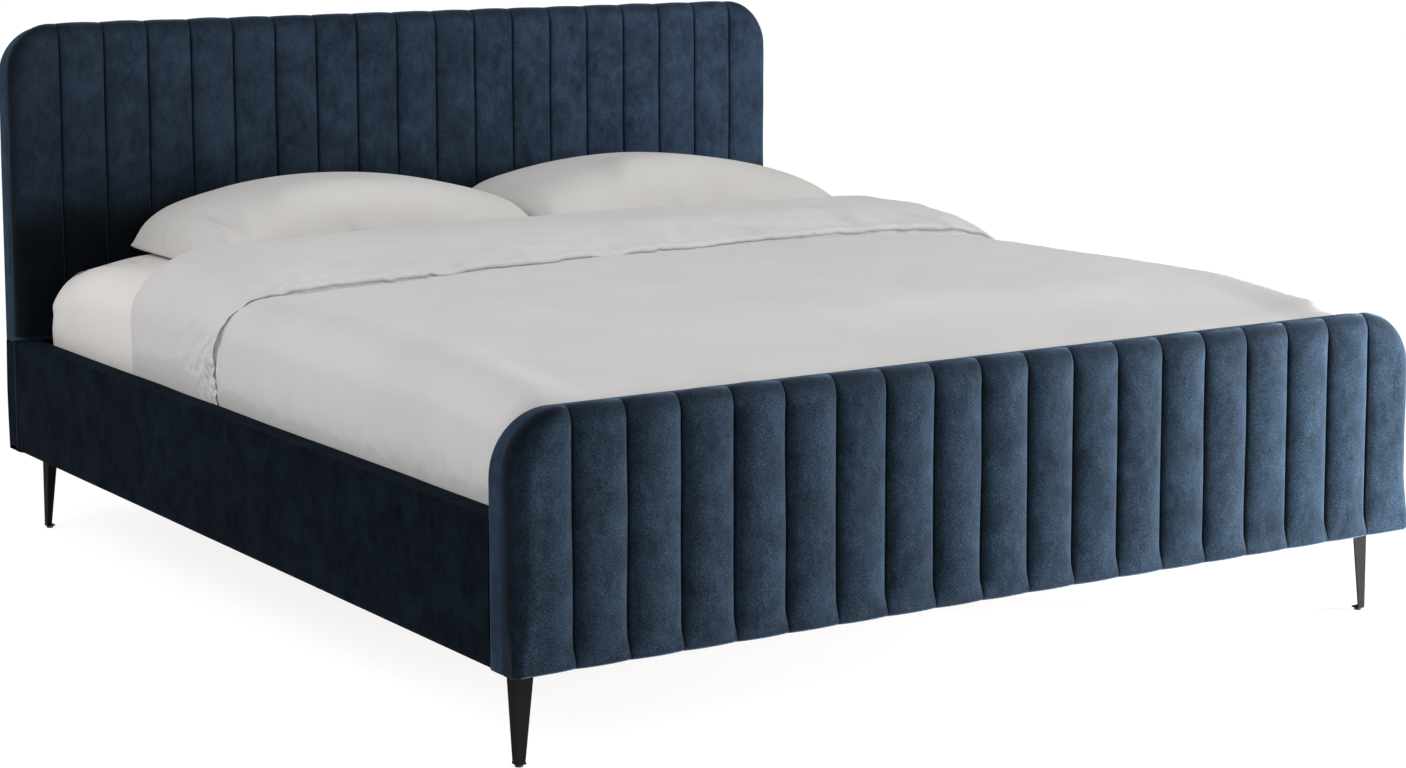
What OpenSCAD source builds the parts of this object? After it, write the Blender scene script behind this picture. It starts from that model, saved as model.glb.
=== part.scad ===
// Double bed with channel-tufted velvet headboard and footboard, padded side
// rails, angle-section metal legs, a slatted base, mattress, duvet and pillows.
// Millimetres. +X to the sleeper's side, +Y towards the headboard, +Z up.
// The origin is the centre of the footprint, on the floor.

/* [Mattress and bedding] */
// Width of the mattress
mattress_w = 1790; // [1390:10:1990]
// Length of the mattress
mattress_l = 1990; // [1890:10:2090]
// Thickness of the mattress
mattress_t = 235; // [160:5:280]
// Corner radius of the mattress in plan
mattress_corner_r = 60; // [20:5:120]
// Thickness of one layer of the duvet on the mattress
duvet_t = 42; // [20:1:70]
// Length of the part of the duvet that is folded back
foldback_l = 450; // [200:10:700]
// Depth of the tuck below the top of the side rails
tuck_depth = 30; // [10:5:60]
// Width of a pillow
pillow_w = 800; // [500:10:840]
// Depth of a pillow, from headboard to duvet
pillow_d = 500; // [350:10:500]
// Thickness of a pillow in its middle
pillow_t = 165; // [100:5:220]
// Where the pillows meet, to the right of the middle of the bed
pillow_meet_x = 60; // [0:5:60]
// Rounding of the upper edges of the mattress
mattress_edge_r = 45; // [20:5:60]

/* [Clearances round the mattress] */
// Gap between the mattress and each side rail
side_gap = 10; // [10:1:40]
// Gap between the mattress and the footboard
foot_gap = 37; // [20:1:80]
// Gap between the mattress and the channels of the headboard
head_gap = 20; // [5:1:80]
// Gap between the tucked duvet and the side rails
tuck_gap = 2; // [1:0.5:4]
// Gap between the tucked duvet and the footboard
foot_tuck_gap = 7; // [2:1:15]
// Gap between pillow and headboard, and between pillows
pillow_gap = 8; // [4:1:20]
// Small gap between soft pieces that can be lifted off and what carries them
soft_gap = 0.3; // [0.1:0.1:1]

/* [Headboard and footboard] */
// Height of the headboard above the underside of the bed
headboard_h = 914; // [600:1:1400]
// Height of the footboard above the underside of the bed
footboard_h = 417; // [300:1:700]
// Thickness of the box behind the headboard's padding
head_box_t = 50; // [40:1:90]
// Thickness of the box behind the footboard's padding
foot_box_t = 47; // [40:1:90]
// Radius of the upper corners of both boards
corner_r = 105; // [60:5:180]
// Thickness of the channelled pads at the crown of a channel
channel_pad_t = 40; // [25:1:70]
// Depth of a seam below the crown of a channel
seam_d = 10; // [4:1:15]
// Number of channels on each board
channels = 19; // [9:1:27]
// Width of the first and last channel
end_channel_w = 109; // [80:1:140]
// Rounding of the front edges of the channelled pads
pad_edge_r = 34; // [10:1:39]
// How far the channelled pads stand up above the boxes behind them
pad_rise = 8; // [0:1:20]
// Thickness of the plain pad at the foot of the headboard
apron_t = 14; // [8:1:30]
// Thickness of the velvet band round the edge of the boards
band_t = 3; // [2:0.5:6]
// Thickness of the cover on the outer and inner backs of the boards
back_cover_t = 3; // [2:0.5:6]
// Thickness of the plywood panels
panel_t = 9; // [6:1:18]
// Width of the stiles of the boards
stile_w = 100; // [70:5:130]
// Width of the crosspieces of the boards
crosspiece_w = 60; // [40:5:90]

/* [Side rails and slatted base] */
// Height of the side rails
rail_h = 241; // [200:5:320]
// Thickness of the rail's timber board
rail_board_t = 35; // [22:1:45]
// Thickness of the rail's outer padding
rail_pad_out = 15; // [8:1:30]
// Thickness of the cover on the rail's inner side
rail_pad_in = 5; // [3:1:10]
// Thickness of the rail's top padding
rail_pad_top = 12; // [6:1:25]
// How far the cover comes down on the rail's inner side
rail_cover_drop = 45; // [30:1:50]
// Rounding of the top edges of the rails
rail_edge_r = 12; // [4:1:15]
// Width of the ledges that carry the slats
ledge_w = 30; // [20:1:50]
// Height of the ledges that carry the slats
ledge_h = 40; // [25:1:50]
// Number of slats in each row
slats = 16; // [10:1:20]
// Width of a slat
slat_w = 68; // [50:1:80]
// Thickness of a slat
slat_t = 18; // [12:1:25]
// Gap between the ends of the slats and the rails
slat_end_gap = 6; // [2:1:10]
// Gap between the two rows of slats
slat_mid_gap = 4; // [2:1:10]
// Space left between each end of a row of slats and the boards
slat_row_gap = 40; // [10:5:80]
// Thickness of the webbing tape under the slats
tape_t = 1.2; // [0.8:0.1:2]
// Width of the webbing tape
tape_w = 25; // [15:1:40]
// Distance of each tape from the end of the slats
tape_inset = 120; // [60:10:250]
// Width of the centre beam
beam_w = 60; // [50:1:80]
// Height of the centre beam
beam_h = 70; // [50:1:90]

/* [Legs and floor] */
// Height of the bed's underside above the floor
underside_z = 162; // [120:1:220]
// Thickness of the glides under the legs
glide_t = 4; // [3:0.5:8]
// Width of a leg's flanges at the top
leg_top_w = 33; // [24:1:36]
// Width of a leg's flanges at the bottom
leg_foot_w = 15; // [10:1:24]
// Thickness of the leg's steel
leg_steel_t = 3; // [2:0.5:3]
// Side of the square tab at the foot of a leg
leg_tab_w = 17; // [15:1:24]
// Distance from the side of the bed to a leg
leg_inset = 40; // [40:1:45]
// Distance from the front of the footboard to a front leg
leg_setback_foot = 72; // [60:1:100]
// Distance from the back of the headboard to a rear leg
leg_setback_head = 96; // [90:1:140]
// Side of the square plate on top of a leg
leg_plate_w = 74; // [70:1:80]
// Width of the slit at the top of a leg's fold
leg_slit_w = 4; // [3.5:0.5:6]
// Height of the slit at the top of a leg's fold
leg_slit_h = 8; // [4:1:12]
// Diameter of the glides under the legs
glide_d = 14; // [10:1:16]
// Distance from the middle of the bed to a centre support leg
support_y = 350; // [200:10:600]
// Diameter of the centre support legs
support_d = 40; // [30:1:60]
// Diameter of the levelling feet
foot_d = 46; // [30:1:70]
// Height of the levelling feet
foot_h = 12; // [8:1:20]
// Travel of the levelling feet
foot_travel = 12; // [5:1:20]
// Diameter of the studs of the levelling feet
stud_d = 10; // [8:1:12]
// Length of the studs of the levelling feet
stud_l = 42; // [35:1:60]
// Wall of the centre support legs
support_wall = 3; // [2:0.5:5]
// Length of the plug that guides the stud
plug_l = 25; // [15:1:30]
// Distance of a support leg's screws from its tube
support_screw_gap = 12; // [8:1:25]
// Distance of a support leg's screws from the ends of its plate
support_plate_edge = 10; // [8:1:20]
// Gap above a levelling foot that is screwed right in
foot_stop_gap = 1; // [1:1:5]

/* [Hardware] */
// Thickness of the steel of brackets and plates
steel_t = 3; // [2:0.5:5]
// Height of a corner bracket
bracket_h = 74; // [50:1:80]
// Length of a corner bracket's arms
bracket_arm = 46; // [40:1:50]
// Width of the hangers that carry the centre beam
hanger_w = 150; // [140:5:200]
// Depth of the seat in each hanger
hanger_seat_l = 60; // [40:5:80]
// Diameter of the bolts
bolt_d = 8; // [6:1:10]
// Diameter of the bolt heads
bolt_head_d = 16; // [12:1:18]
// Height of the bolt heads
bolt_head_h = 5; // [3:1:6]
// Length of the bolts under the head
bolt_l = 34; // [25:1:36]
// Diameter of the wood screws
screw_d = 4; // [3:0.5:5]
// Length of the wood screws in the wood
screw_l = 28; // [15:1:35]
// Diameter of the heads of the wood screws
screw_head_d = 8; // [6:0.5:10]
// Height of the heads of the wood screws
screw_head_h = 2; // [1.5:0.5:3]
// Height of the blocks that carry the legs
block_h = 45; // [35:1:50]
// Length of the blocks that carry the legs
block_l = 100; // [90:5:120]
// Width of the blocks that carry the legs
block_w = 72; // [60:1:90]
// Upright clearance between block, bracket and ledge
stack_gap = 4; // [1:1:8]

/* [Hidden] */
$fn = 48;
eps = 0.01;
velvet = [0.13, 0.18, 0.25];
velvet_dark = [0.08, 0.11, 0.15];
pine = [0.80, 0.66, 0.46];
plywood = [0.72, 0.58, 0.40];
linen = [0.87, 0.85, 0.83];
duvet_grey = [0.78, 0.78, 0.78];
black_steel = [0.17, 0.16, 0.16];
zinc = [0.72, 0.73, 0.75];
plastic = [0.08, 0.08, 0.08];
webbing = [0.90, 0.88, 0.84];

// Radial clearance of bolts and screws in their holes
hole_gap = 0.2;
// Radial clearance of a levelling stud in its plug
stud_gap = 0.05;

// Plan of the bed
rail_t = rail_pad_out + rail_board_t + rail_pad_in;
bed_w = mattress_w + 2 * side_gap + 2 * rail_t;
foot_t = foot_box_t + channel_pad_t;
head_t = head_box_t + channel_pad_t;
bed_l = foot_t + foot_gap + mattress_l + head_gap + head_t;
half_w = bed_w / 2;
half_l = bed_l / 2;
foot_inner_y = -half_l + foot_t;
foot_box_y = -half_l + channel_pad_t;
head_front_y = half_l - head_t;
head_box_y = half_l - head_box_t;
apron_y = head_box_y - apron_t;
rail_l = apron_y - foot_inner_y;
rail_inner_x = half_w - rail_t;
board_inner_x = half_w - rail_pad_out - rail_board_t;

// Heights
rail_top_z = underside_z + rail_h;
headboard_top_z = underside_z + headboard_h;
footboard_top_z = underside_z + footboard_h;
head_box_z = headboard_top_z - pad_rise;
foot_box_z = footboard_top_z - pad_rise;
bracket_z = underside_z + block_h + stack_gap;
ledge_z = bracket_z + bracket_h + stack_gap;
slat_z = ledge_z + ledge_h;
beam_z = slat_z - beam_h;
mattress_z = slat_z + slat_t;
mattress_top_z = mattress_z + mattress_t;

// Mattress and bedding
mattress_y0 = foot_inner_y + foot_gap;
mattress_y1 = mattress_y0 + mattress_l;
pillow_y1 = head_front_y - pillow_gap;
fold_y = pillow_y1 - pillow_d - pillow_gap;
hem_y = fold_y - foldback_l;
duvet_x = mattress_w / 2 + side_gap - tuck_gap;
duvet_y0 = foot_inner_y + foot_tuck_gap;
duvet_top_z = mattress_top_z + soft_gap + duvet_t;
tuck_z = rail_top_z - tuck_depth;

// Boards
stile_x = half_w - band_t - stile_w;
frame_r = corner_r - band_t;
head_frame_t = head_box_t - panel_t - back_cover_t;
foot_frame_t = foot_box_t - panel_t - back_cover_t;
head_frame_y = head_box_y + panel_t;
foot_frame_y = foot_box_y + panel_t;
channel_w = (bed_w - 2 * end_channel_w) / (channels - 2);
crown_r = (channel_w * channel_w / 4 + seam_d * seam_d) / (2 * seam_d);
// Keeps the rounded plate of a pad just in front of the crowns' crests
pad_nudge = 0.5;

// Hardware
bolt_in = steel_t + bracket_arm / 2;
bolt_zs = [bracket_z + bracket_h / 4, bracket_z + bracket_h * 3 / 4];
hanger_bolt_x = (hanger_w + beam_w + bolt_head_d) / 4;
slat_pitch = (rail_l - 2 * slat_row_gap - slat_w) / (slats - 1);
slat_out_x = board_inner_x - slat_end_gap;
leg_top_z = underside_z - leg_steel_t;
leg_x = leg_inset - rail_pad_out - rail_board_t;
leg_screw_x = [12, 50];
leg_screw_y = [16, 50];
plate_edge = 4;
support_screw_y = support_d / 2 + support_screw_gap;
support_plate_l = 2 * (support_screw_y + support_plate_edge);
tube_z = foot_h + foot_travel + foot_stop_gap;

// ---- Helpers ----
// side is -1 on the left and 1 on the right, end is -1 at the foot and 1 at the head.

module flip(axis, on) {
  if (on) mirror(axis) children();
  else children();
}

// Puts a piece into a corner of the bed: x runs inwards from the rail's
// board and y runs inwards from the headboard or footboard.
module in_corner(side, end)
  translate([side * board_inner_x, end > 0 ? apron_y : foot_inner_y, 0])
    flip([1, 0, 0], side > 0) flip([0, 1, 0], end > 0) children();

// Puts a piece in the middle of a board: y runs inwards.
module at_end(end)
  translate([0, end > 0 ? apron_y : foot_inner_y, 0])
    flip([0, 1, 0], end > 0) children();

// Stands an outline drawn in x and z upright, from y0 on.
module upright(y0, t)
  translate([0, y0 + t, 0]) rotate([90, 0, 0]) linear_extrude(t) children();

// Runs an outline drawn in y and z along x, from x0 on.
module along_x(x0, l)
  translate([x0, 0, 0]) rotate([90, 0, 90]) linear_extrude(l) children();

// Rectangle with its two upper corners rounded.
module arch(x0, x1, z0, z1, r) {
  translate([x0, z0]) square([x1 - x0, z1 - z0 - r]);
  translate([x0 + r, z0]) square([x1 - x0 - 2 * r, z1 - z0]);
  for (x = [x0 + r, x1 - r]) translate([x, z1 - r]) circle(r);
}

module quarter_disc(r)
  intersection() {
    circle(r);
    square(r);
  }

// Outline of a board, kept inside its edge by an inset.
module board_outline(top_z, inset)
  arch(-half_w + inset, half_w - inset, underside_z, top_z - inset, corner_r - inset);

module bolt() {
  cylinder(d = bolt_d, h = bolt_l);
  translate([0, 0, -bolt_head_h]) cylinder(d = bolt_head_d, h = bolt_head_h);
}

module bolt_hole()
  translate([0, 0, -eps]) cylinder(d = bolt_d + 2 * hole_gap, h = bolt_l + 1);

module screw() {
  cylinder(d = screw_d, h = screw_l);
  translate([0, 0, -screw_head_h]) cylinder(d = screw_head_d, h = screw_head_h);
}

module screw_hole() {
  translate([0, 0, -eps]) cylinder(d = screw_d + 2 * hole_gap, h = screw_l + 1);
  translate([0, 0, -screw_head_h - 1])
    cylinder(d = screw_head_d + 2 * hole_gap, h = screw_head_h + 1);
}

// Places of the bolts through the corner brackets and the beam hangers.
module at_bolts() {
  for (side = [-1, 1], end = [-1, 1]) in_corner(side, end)
    for (z = bolt_zs) {
      translate([steel_t, bolt_in, z]) rotate([0, -90, 0]) children();
      translate([bolt_in, steel_t, z]) rotate([90, 0, 0]) children();
    }
  for (end = [-1, 1]) at_end(end)
    for (x = [-1, 1])
      translate([x * hanger_bolt_x, steel_t, beam_z + beam_h / 2])
        rotate([90, 0, 0]) children();
}

// y of a leg's outer corner and of its block, inwards from the board.
function leg_y(end) = end > 0 ? apron_y - half_l + leg_setback_head
                              : leg_setback_foot - foot_t;
function block_y(end) = max(0, leg_y(end) - plate_edge);

// Places of the screws through the legs' plates.
module at_leg_screws()
  for (side = [-1, 1], end = [-1, 1]) in_corner(side, end)
    for (x = leg_screw_x, y = leg_screw_y)
      translate([x, block_y(end) + y, leg_top_z]) children();

// Places of the screws through the plates of the centre supports.
module at_support_screws()
  for (end = [-1, 1], y = [-1, 1])
    translate([0, end * support_y + y * support_screw_y, beam_z - steel_t]) children();

// Places of the screws through the first and last slats.
module at_slat_screws()
  for (side = [-1, 1], i = [0, slats - 1],
       x = [board_inner_x - ledge_w / 2, beam_w / 4 + slat_mid_gap / 4])
    translate([side * x, slat_y(i) + slat_w / 2, slat_z + slat_t - screw_head_h])
      rotate([180, 0, 0]) children();

module bored() {
  difference() {
    children();
    at_bolts() bolt_hole();
  }
}

module drilled() {
  difference() {
    children();
    at_leg_screws() screw_hole();
    at_support_screws() screw_hole();
    at_slat_screws() screw_hole();
  }
}

// ---- Headboard and footboard ----

module panel(y0, top_z)
  color(plywood) bored() upright(y0, panel_t) board_outline(top_z, band_t);

module back_cover(y0, top_z)
  color(velvet_dark) bored() upright(y0, back_cover_t) board_outline(top_z, band_t);

module band(y0, t, top_z)
  color(velvet) upright(y0, t) difference() {
    board_outline(top_z, 0);
    translate([0, -eps]) board_outline(top_z + eps, band_t);
  }

module stile(side, y0, t, top_z)
  color(pine) bored() flip([1, 0, 0], side < 0)
    translate([stile_x, y0, underside_z]) cube([stile_w, t, top_z - corner_r - underside_z]);

// Quarter disc that fills an upper corner of a board's frame.
module corner_block(side, y0, t, top_z)
  color(pine) flip([1, 0, 0], side < 0) upright(y0, t)
    translate([half_w - corner_r, top_z - corner_r]) quarter_disc(frame_r);

module crosspiece(half_span, z0, y0, t)
  color(pine) translate([-half_span, y0, z0]) cube([2 * half_span, t, crosspiece_w]);

module centre_post(z1, y0, t)
  color(pine) bored() translate([-hanger_w / 2, y0, underside_z + crosspiece_w])
    cube([hanger_w, t, z1 - underside_z - crosspiece_w]);

// Plan of a channelled pad: a row of crowns in front of a plain back. Each crown
// runs on behind its neighbours, so that the seams are where two crowns cross.
module channel_plan(y0) {
  overlap = 1;
  last = channels - 1;
  translate([-half_w - overlap, y0 + seam_d + overlap])
    square([bed_w + 2 * overlap, channel_pad_t]);
  for (i = [0 : last]) {
    x = (i - last / 2) * channel_w;
    x0 = i == 0 ? -half_w - overlap : x - channel_w / 2 - overlap;
    x1 = i == last ? half_w + overlap : x + channel_w / 2 + overlap;
    intersection() {
      translate([x, y0 + crown_r]) circle(crown_r, $fn = 96);
      translate([x0, y0 - overlap]) square([x1 - x0, seam_d + 3 * overlap]);
    }
  }
}

// Section across the rounded edge of a pad: x outwards, y forwards from its back.
module pad_section(t) {
  square([corner_r - pad_edge_r, t]);
  square([corner_r, t - pad_edge_r]);
  translate([corner_r - pad_edge_r, t - pad_edge_r]) quarter_disc(pad_edge_r);
}

// Plate whose front edge is rounded up both sides, round the corners and over the top.
module pad_plate(back_y, z0, top_z) {
  t = channel_pad_t + pad_nudge;
  bend_x = half_w - corner_r;
  bend_z = top_z - corner_r;
  translate([-bend_x, back_y - t, z0]) cube([2 * bend_x, t, bend_z - z0]);
  along_x(-bend_x, 2 * bend_x) translate([back_y, bend_z]) rotate(90) pad_section(t);
  for (side = [-1, 1]) flip([1, 0, 0], side < 0) translate([bend_x, back_y, 0]) {
    translate([0, 0, z0]) mirror([0, 1, 0]) linear_extrude(bend_z - z0) pad_section(t);
    translate([0, 0, bend_z]) rotate([90, 0, 0]) rotate_extrude(angle = 90) pad_section(t);
  }
}

module channel_pad(y0, z0, top_z)
  color(velvet) intersection() {
    translate([0, 0, z0 - 1]) linear_extrude(top_z - z0 + 2) channel_plan(y0);
    pad_plate(y0 + channel_pad_t, z0, top_z);
  }

module apron_pad()
  color(velvet_dark) bored() translate([-half_w, apron_y, underside_z])
    cube([bed_w, apron_t, rail_h]);

// ---- Side rails and slatted base ----

module rail_board(side)
  color(pine) bored() flip([1, 0, 0], side < 0)
    translate([board_inner_x, foot_inner_y, underside_z])
      cube([rail_board_t, rail_l, rail_h - rail_pad_top]);

module rail_cover(side)
  color(velvet) flip([1, 0, 0], side < 0) upright(foot_inner_y, rail_l) difference() {
    arch(rail_inner_x, half_w, underside_z, rail_top_z, rail_edge_r);
    translate([board_inner_x, underside_z - 1])
      square([rail_board_t, rail_h - rail_pad_top + 1]);
    translate([rail_inner_x - 1, underside_z - 1])
      square([rail_pad_in + 2, rail_h - rail_cover_drop + 1]);
  }

module slat_ledge(side)
  color(pine) drilled() flip([1, 0, 0], side < 0)
    translate([board_inner_x - ledge_w, foot_inner_y, ledge_z])
      cube([ledge_w, rail_l, ledge_h]);

function slat_y(i) = foot_inner_y + slat_row_gap + i * slat_pitch;

module slat_row(side)
  color(plywood) drilled() flip([1, 0, 0], side < 0)
    for (i = [0 : slats - 1])
      translate([slat_mid_gap / 2, slat_y(i), slat_z])
        cube([slat_out_x - slat_mid_gap / 2, slat_w, slat_t]);

module slat_tapes()
  color(webbing)
    for (s = [-1, 1], x = [slat_mid_gap / 2 + tape_inset, slat_out_x - tape_inset])
      translate([s * x - tape_w / 2, slat_y(0), slat_z - tape_t])
        cube([tape_w, rail_l - 2 * slat_row_gap, tape_t]);

module centre_beam()
  color(pine) drilled() translate([-beam_w / 2, foot_inner_y + steel_t, beam_z])
    cube([beam_w, rail_l - 2 * steel_t, beam_h]);

module beam_hanger(end)
  color(zinc) bored() at_end(end) difference() {
    union() {
      translate([-hanger_w / 2, 0, beam_z - steel_t]) cube([hanger_w, steel_t, beam_h]);
      translate([-beam_w / 2 - steel_t, 0, beam_z - steel_t])
        cube([beam_w + 2 * steel_t, hanger_seat_l, beam_h]);
    }
    translate([-beam_w / 2, steel_t, beam_z])
      cube([beam_w, hanger_seat_l, beam_h]);
  }

// ---- Legs and centre supports ----

module leg_block(side, end)
  color(pine) drilled() in_corner(side, end)
    translate([0, block_y(end), underside_z]) cube([block_w, block_l, block_h]);

// One flange of a leg, tapering down from the fold.
module leg_flange()
  upright(0, leg_steel_t) polygon([
    [0, glide_t], [leg_foot_w, glide_t], [leg_top_w, leg_top_z], [0, leg_top_z]
  ]);

module leg(side, end)
  color(black_steel) drilled() in_corner(side, end)
    translate([leg_x, leg_y(end), 0]) difference() {
      union() {
        leg_flange();
        mirror([1, -1, 0]) leg_flange();
        translate([0, 0, glide_t]) cube([leg_tab_w, leg_tab_w, leg_steel_t]);
        translate([-plate_edge, -plate_edge, leg_top_z])
          cube([leg_plate_w, leg_plate_w, leg_steel_t]);
      }
      translate([-1, -1, leg_top_z - leg_slit_h])
        cube([leg_slit_w + 1, leg_slit_w + 1, leg_slit_h]);
    }

module leg_glides()
  color(plastic) for (side = [-1, 1], end = [-1, 1]) in_corner(side, end)
    translate([leg_x + leg_tab_w / 2, leg_y(end) + leg_tab_w / 2, 0])
      cylinder(d = glide_d, h = glide_t);

module support_leg(end)
  color(black_steel) drilled() translate([0, end * support_y, 0]) difference() {
    union() {
      translate([-beam_w / 2, -support_plate_l / 2, beam_z - steel_t])
        cube([beam_w, support_plate_l, steel_t]);
      translate([0, 0, tube_z]) cylinder(d = support_d, h = beam_z - steel_t - tube_z);
    }
    translate([0, 0, tube_z + plug_l])
      cylinder(d = support_d - 2 * support_wall, h = beam_z - steel_t - tube_z - plug_l);
    translate([0, 0, tube_z - 1]) cylinder(d = stud_d + 2 * stud_gap, h = plug_l + 2);
  }

module levelling_foot(end)
  color(plastic) translate([0, end * support_y, 0]) {
    cylinder(d = foot_d, h = foot_h);
    cylinder(d = stud_d, h = foot_h + stud_l);
  }

// ---- Hardware ----

module bracket(side, end)
  color(zinc) bored() in_corner(side, end) translate([0, 0, bracket_z]) {
    cube([steel_t, bracket_arm, bracket_h]);
    cube([bracket_arm, steel_t, bracket_h]);
  }

module bolts() color(zinc) at_bolts() bolt();

module wood_screws() color(zinc) {
  at_leg_screws() screw();
  at_support_screws() screw();
  at_slat_screws() screw();
}

// ---- Mattress and bedding ----

// Block with rounded upper edges all round.
module cushion(half_x, y0, y1, z0, z1, r)
  intersection() {
    upright(y0, y1 - y0) arch(-half_x, half_x, z0, z1, r);
    along_x(-half_x, 2 * half_x) arch(y0, y1, z0, z1, r);
  }

// Mattress grown by a gap on every side but its underside.
module mattress_block(gap)
  intersection() {
    cushion(mattress_w / 2 + gap, mattress_y0 - gap, mattress_y1 + gap,
            mattress_z, mattress_top_z + gap, mattress_edge_r + gap);
    translate([0, 0, mattress_z]) linear_extrude(mattress_t + 1) {
      hx = mattress_w / 2 + gap - mattress_corner_r;
      translate([-hx, mattress_y0 - gap])
        square([2 * hx, mattress_l + 2 * gap]);
      translate([-hx - mattress_corner_r, mattress_y0 - gap + mattress_corner_r])
        square([mattress_w + 2 * gap, mattress_l + 2 * gap - 2 * mattress_corner_r]);
      for (x = [-hx, hx], y = [mattress_y0 - gap + mattress_corner_r,
                              mattress_y1 + gap - mattress_corner_r])
        translate([x, y]) circle(mattress_corner_r);
    }
  }

module mattress() color(linen) mattress_block(0);

module duvet()
  color(duvet_grey) difference() {
    union() {
      intersection() {
        cushion(duvet_x, duvet_y0, fold_y + corner_r, tuck_z, duvet_top_z, mattress_edge_r + duvet_t / 2);
        translate([-duvet_x, duvet_y0, tuck_z])
          cube([2 * duvet_x, fold_y - duvet_y0, duvet_top_z]);
      }
      upright(hem_y, foldback_l)
        arch(-duvet_x, duvet_x, tuck_z, duvet_top_z + duvet_t, mattress_edge_r + duvet_t);
    }
    mattress_block(soft_gap);
    translate([-mattress_w / 2 - soft_gap, mattress_y0 + mattress_corner_r, tuck_z - 1])
      cube([mattress_w + 2 * soft_gap, mattress_l, mattress_z - tuck_z + 1]);
  }

// Pillow lying flat, with its underside at z = 0.
module pillow(x)
  color(linen) translate([x, pillow_y1 - pillow_d / 2, mattress_top_z + soft_gap]) hull() {
    tip_r = pillow_t / 8;
    for (sx = [-1, 1], sy = [-1, 1])
      translate([sx * (pillow_w / 2 - tip_r), sy * (pillow_d / 2 - tip_r), tip_r])
        sphere(tip_r, $fn = 16);
    translate([0, 0, pillow_t / 2])
      scale([pillow_w * 0.38, pillow_d * 0.38, pillow_t / 2]) sphere(1, $fn = 32);
  }

// ---- Drawing ----

panel(head_box_y, head_box_z);  // headboard_panel
stile(-1, head_frame_y, head_frame_t, head_box_z);  // headboard_stile_left
stile(1, head_frame_y, head_frame_t, head_box_z);  // headboard_stile_right
crosspiece(half_w - corner_r, head_box_z - band_t - crosspiece_w, head_frame_y, head_frame_t);  // headboard_top_rail
crosspiece(stile_x, rail_top_z - crosspiece_w / 2, head_frame_y, head_frame_t);  // headboard_seam_rail
crosspiece(stile_x, underside_z, head_frame_y, head_frame_t);  // headboard_bottom_rail
centre_post(rail_top_z - crosspiece_w / 2, head_frame_y, head_frame_t);  // headboard_centre_post
corner_block(-1, head_frame_y, head_frame_t, head_box_z);  // headboard_corner_left
corner_block(1, head_frame_y, head_frame_t, head_box_z);  // headboard_corner_right
band(head_box_y, head_box_t, head_box_z);  // headboard_band
back_cover(half_l - back_cover_t, head_box_z);  // headboard_back_cover
channel_pad(head_front_y, rail_top_z, headboard_top_z);  // headboard_channel_pad
apron_pad();  // headboard_apron_pad
panel(foot_box_y, foot_box_z);  // footboard_panel
stile(-1, foot_frame_y, foot_frame_t, foot_box_z);  // footboard_stile_left
stile(1, foot_frame_y, foot_frame_t, foot_box_z);  // footboard_stile_right
crosspiece(half_w - corner_r, foot_box_z - band_t - crosspiece_w, foot_frame_y, foot_frame_t);  // footboard_top_rail
crosspiece(stile_x, underside_z, foot_frame_y, foot_frame_t);  // footboard_bottom_rail
centre_post(foot_box_z - band_t - crosspiece_w, foot_frame_y, foot_frame_t);  // footboard_centre_post
corner_block(-1, foot_frame_y, foot_frame_t, foot_box_z);  // footboard_corner_left
corner_block(1, foot_frame_y, foot_frame_t, foot_box_z);  // footboard_corner_right
band(foot_box_y, foot_box_t, foot_box_z);  // footboard_band
back_cover(foot_inner_y - back_cover_t, foot_box_z);  // footboard_back_cover
channel_pad(-half_l, underside_z, footboard_top_z);  // footboard_channel_pad
rail_board(-1);  // rail_board_left
rail_board(1);  // rail_board_right
rail_cover(-1);  // rail_cover_left
rail_cover(1);  // rail_cover_right
slat_ledge(-1);  // slat_ledge_left
slat_ledge(1);  // slat_ledge_right
leg_block(-1, -1);  // leg_block_front_left
leg_block(1, -1);  // leg_block_front_right
leg_block(-1, 1);  // leg_block_rear_left
leg_block(1, 1);  // leg_block_rear_right
bracket(-1, -1);  // bracket_front_left
bracket(1, -1);  // bracket_front_right
bracket(-1, 1);  // bracket_rear_left
bracket(1, 1);  // bracket_rear_right
bolts();
leg(-1, -1);  // leg_front_left
leg(1, -1);  // leg_front_right
leg(-1, 1);  // leg_rear_left
leg(1, 1);  // leg_rear_right
leg_glides();
wood_screws();
centre_beam();
beam_hanger(1);  // beam_hanger_head
beam_hanger(-1);  // beam_hanger_foot
support_leg(1);  // support_leg_head
support_leg(-1);  // support_leg_foot
levelling_foot(1);  // levelling_foot_head
levelling_foot(-1);  // levelling_foot_foot
slat_row(-1);  // slats_left
slat_row(1);  // slats_right
slat_tapes();
mattress();
duvet();
pillow(pillow_meet_x - pillow_gap / 2 - pillow_w / 2);  // pillow_left
pillow(pillow_meet_x + pillow_gap / 2 + pillow_w / 2);  // pillow_right
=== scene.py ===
import math
import bpy
import numpy as np
from mathutils import Matrix, Vector


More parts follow.
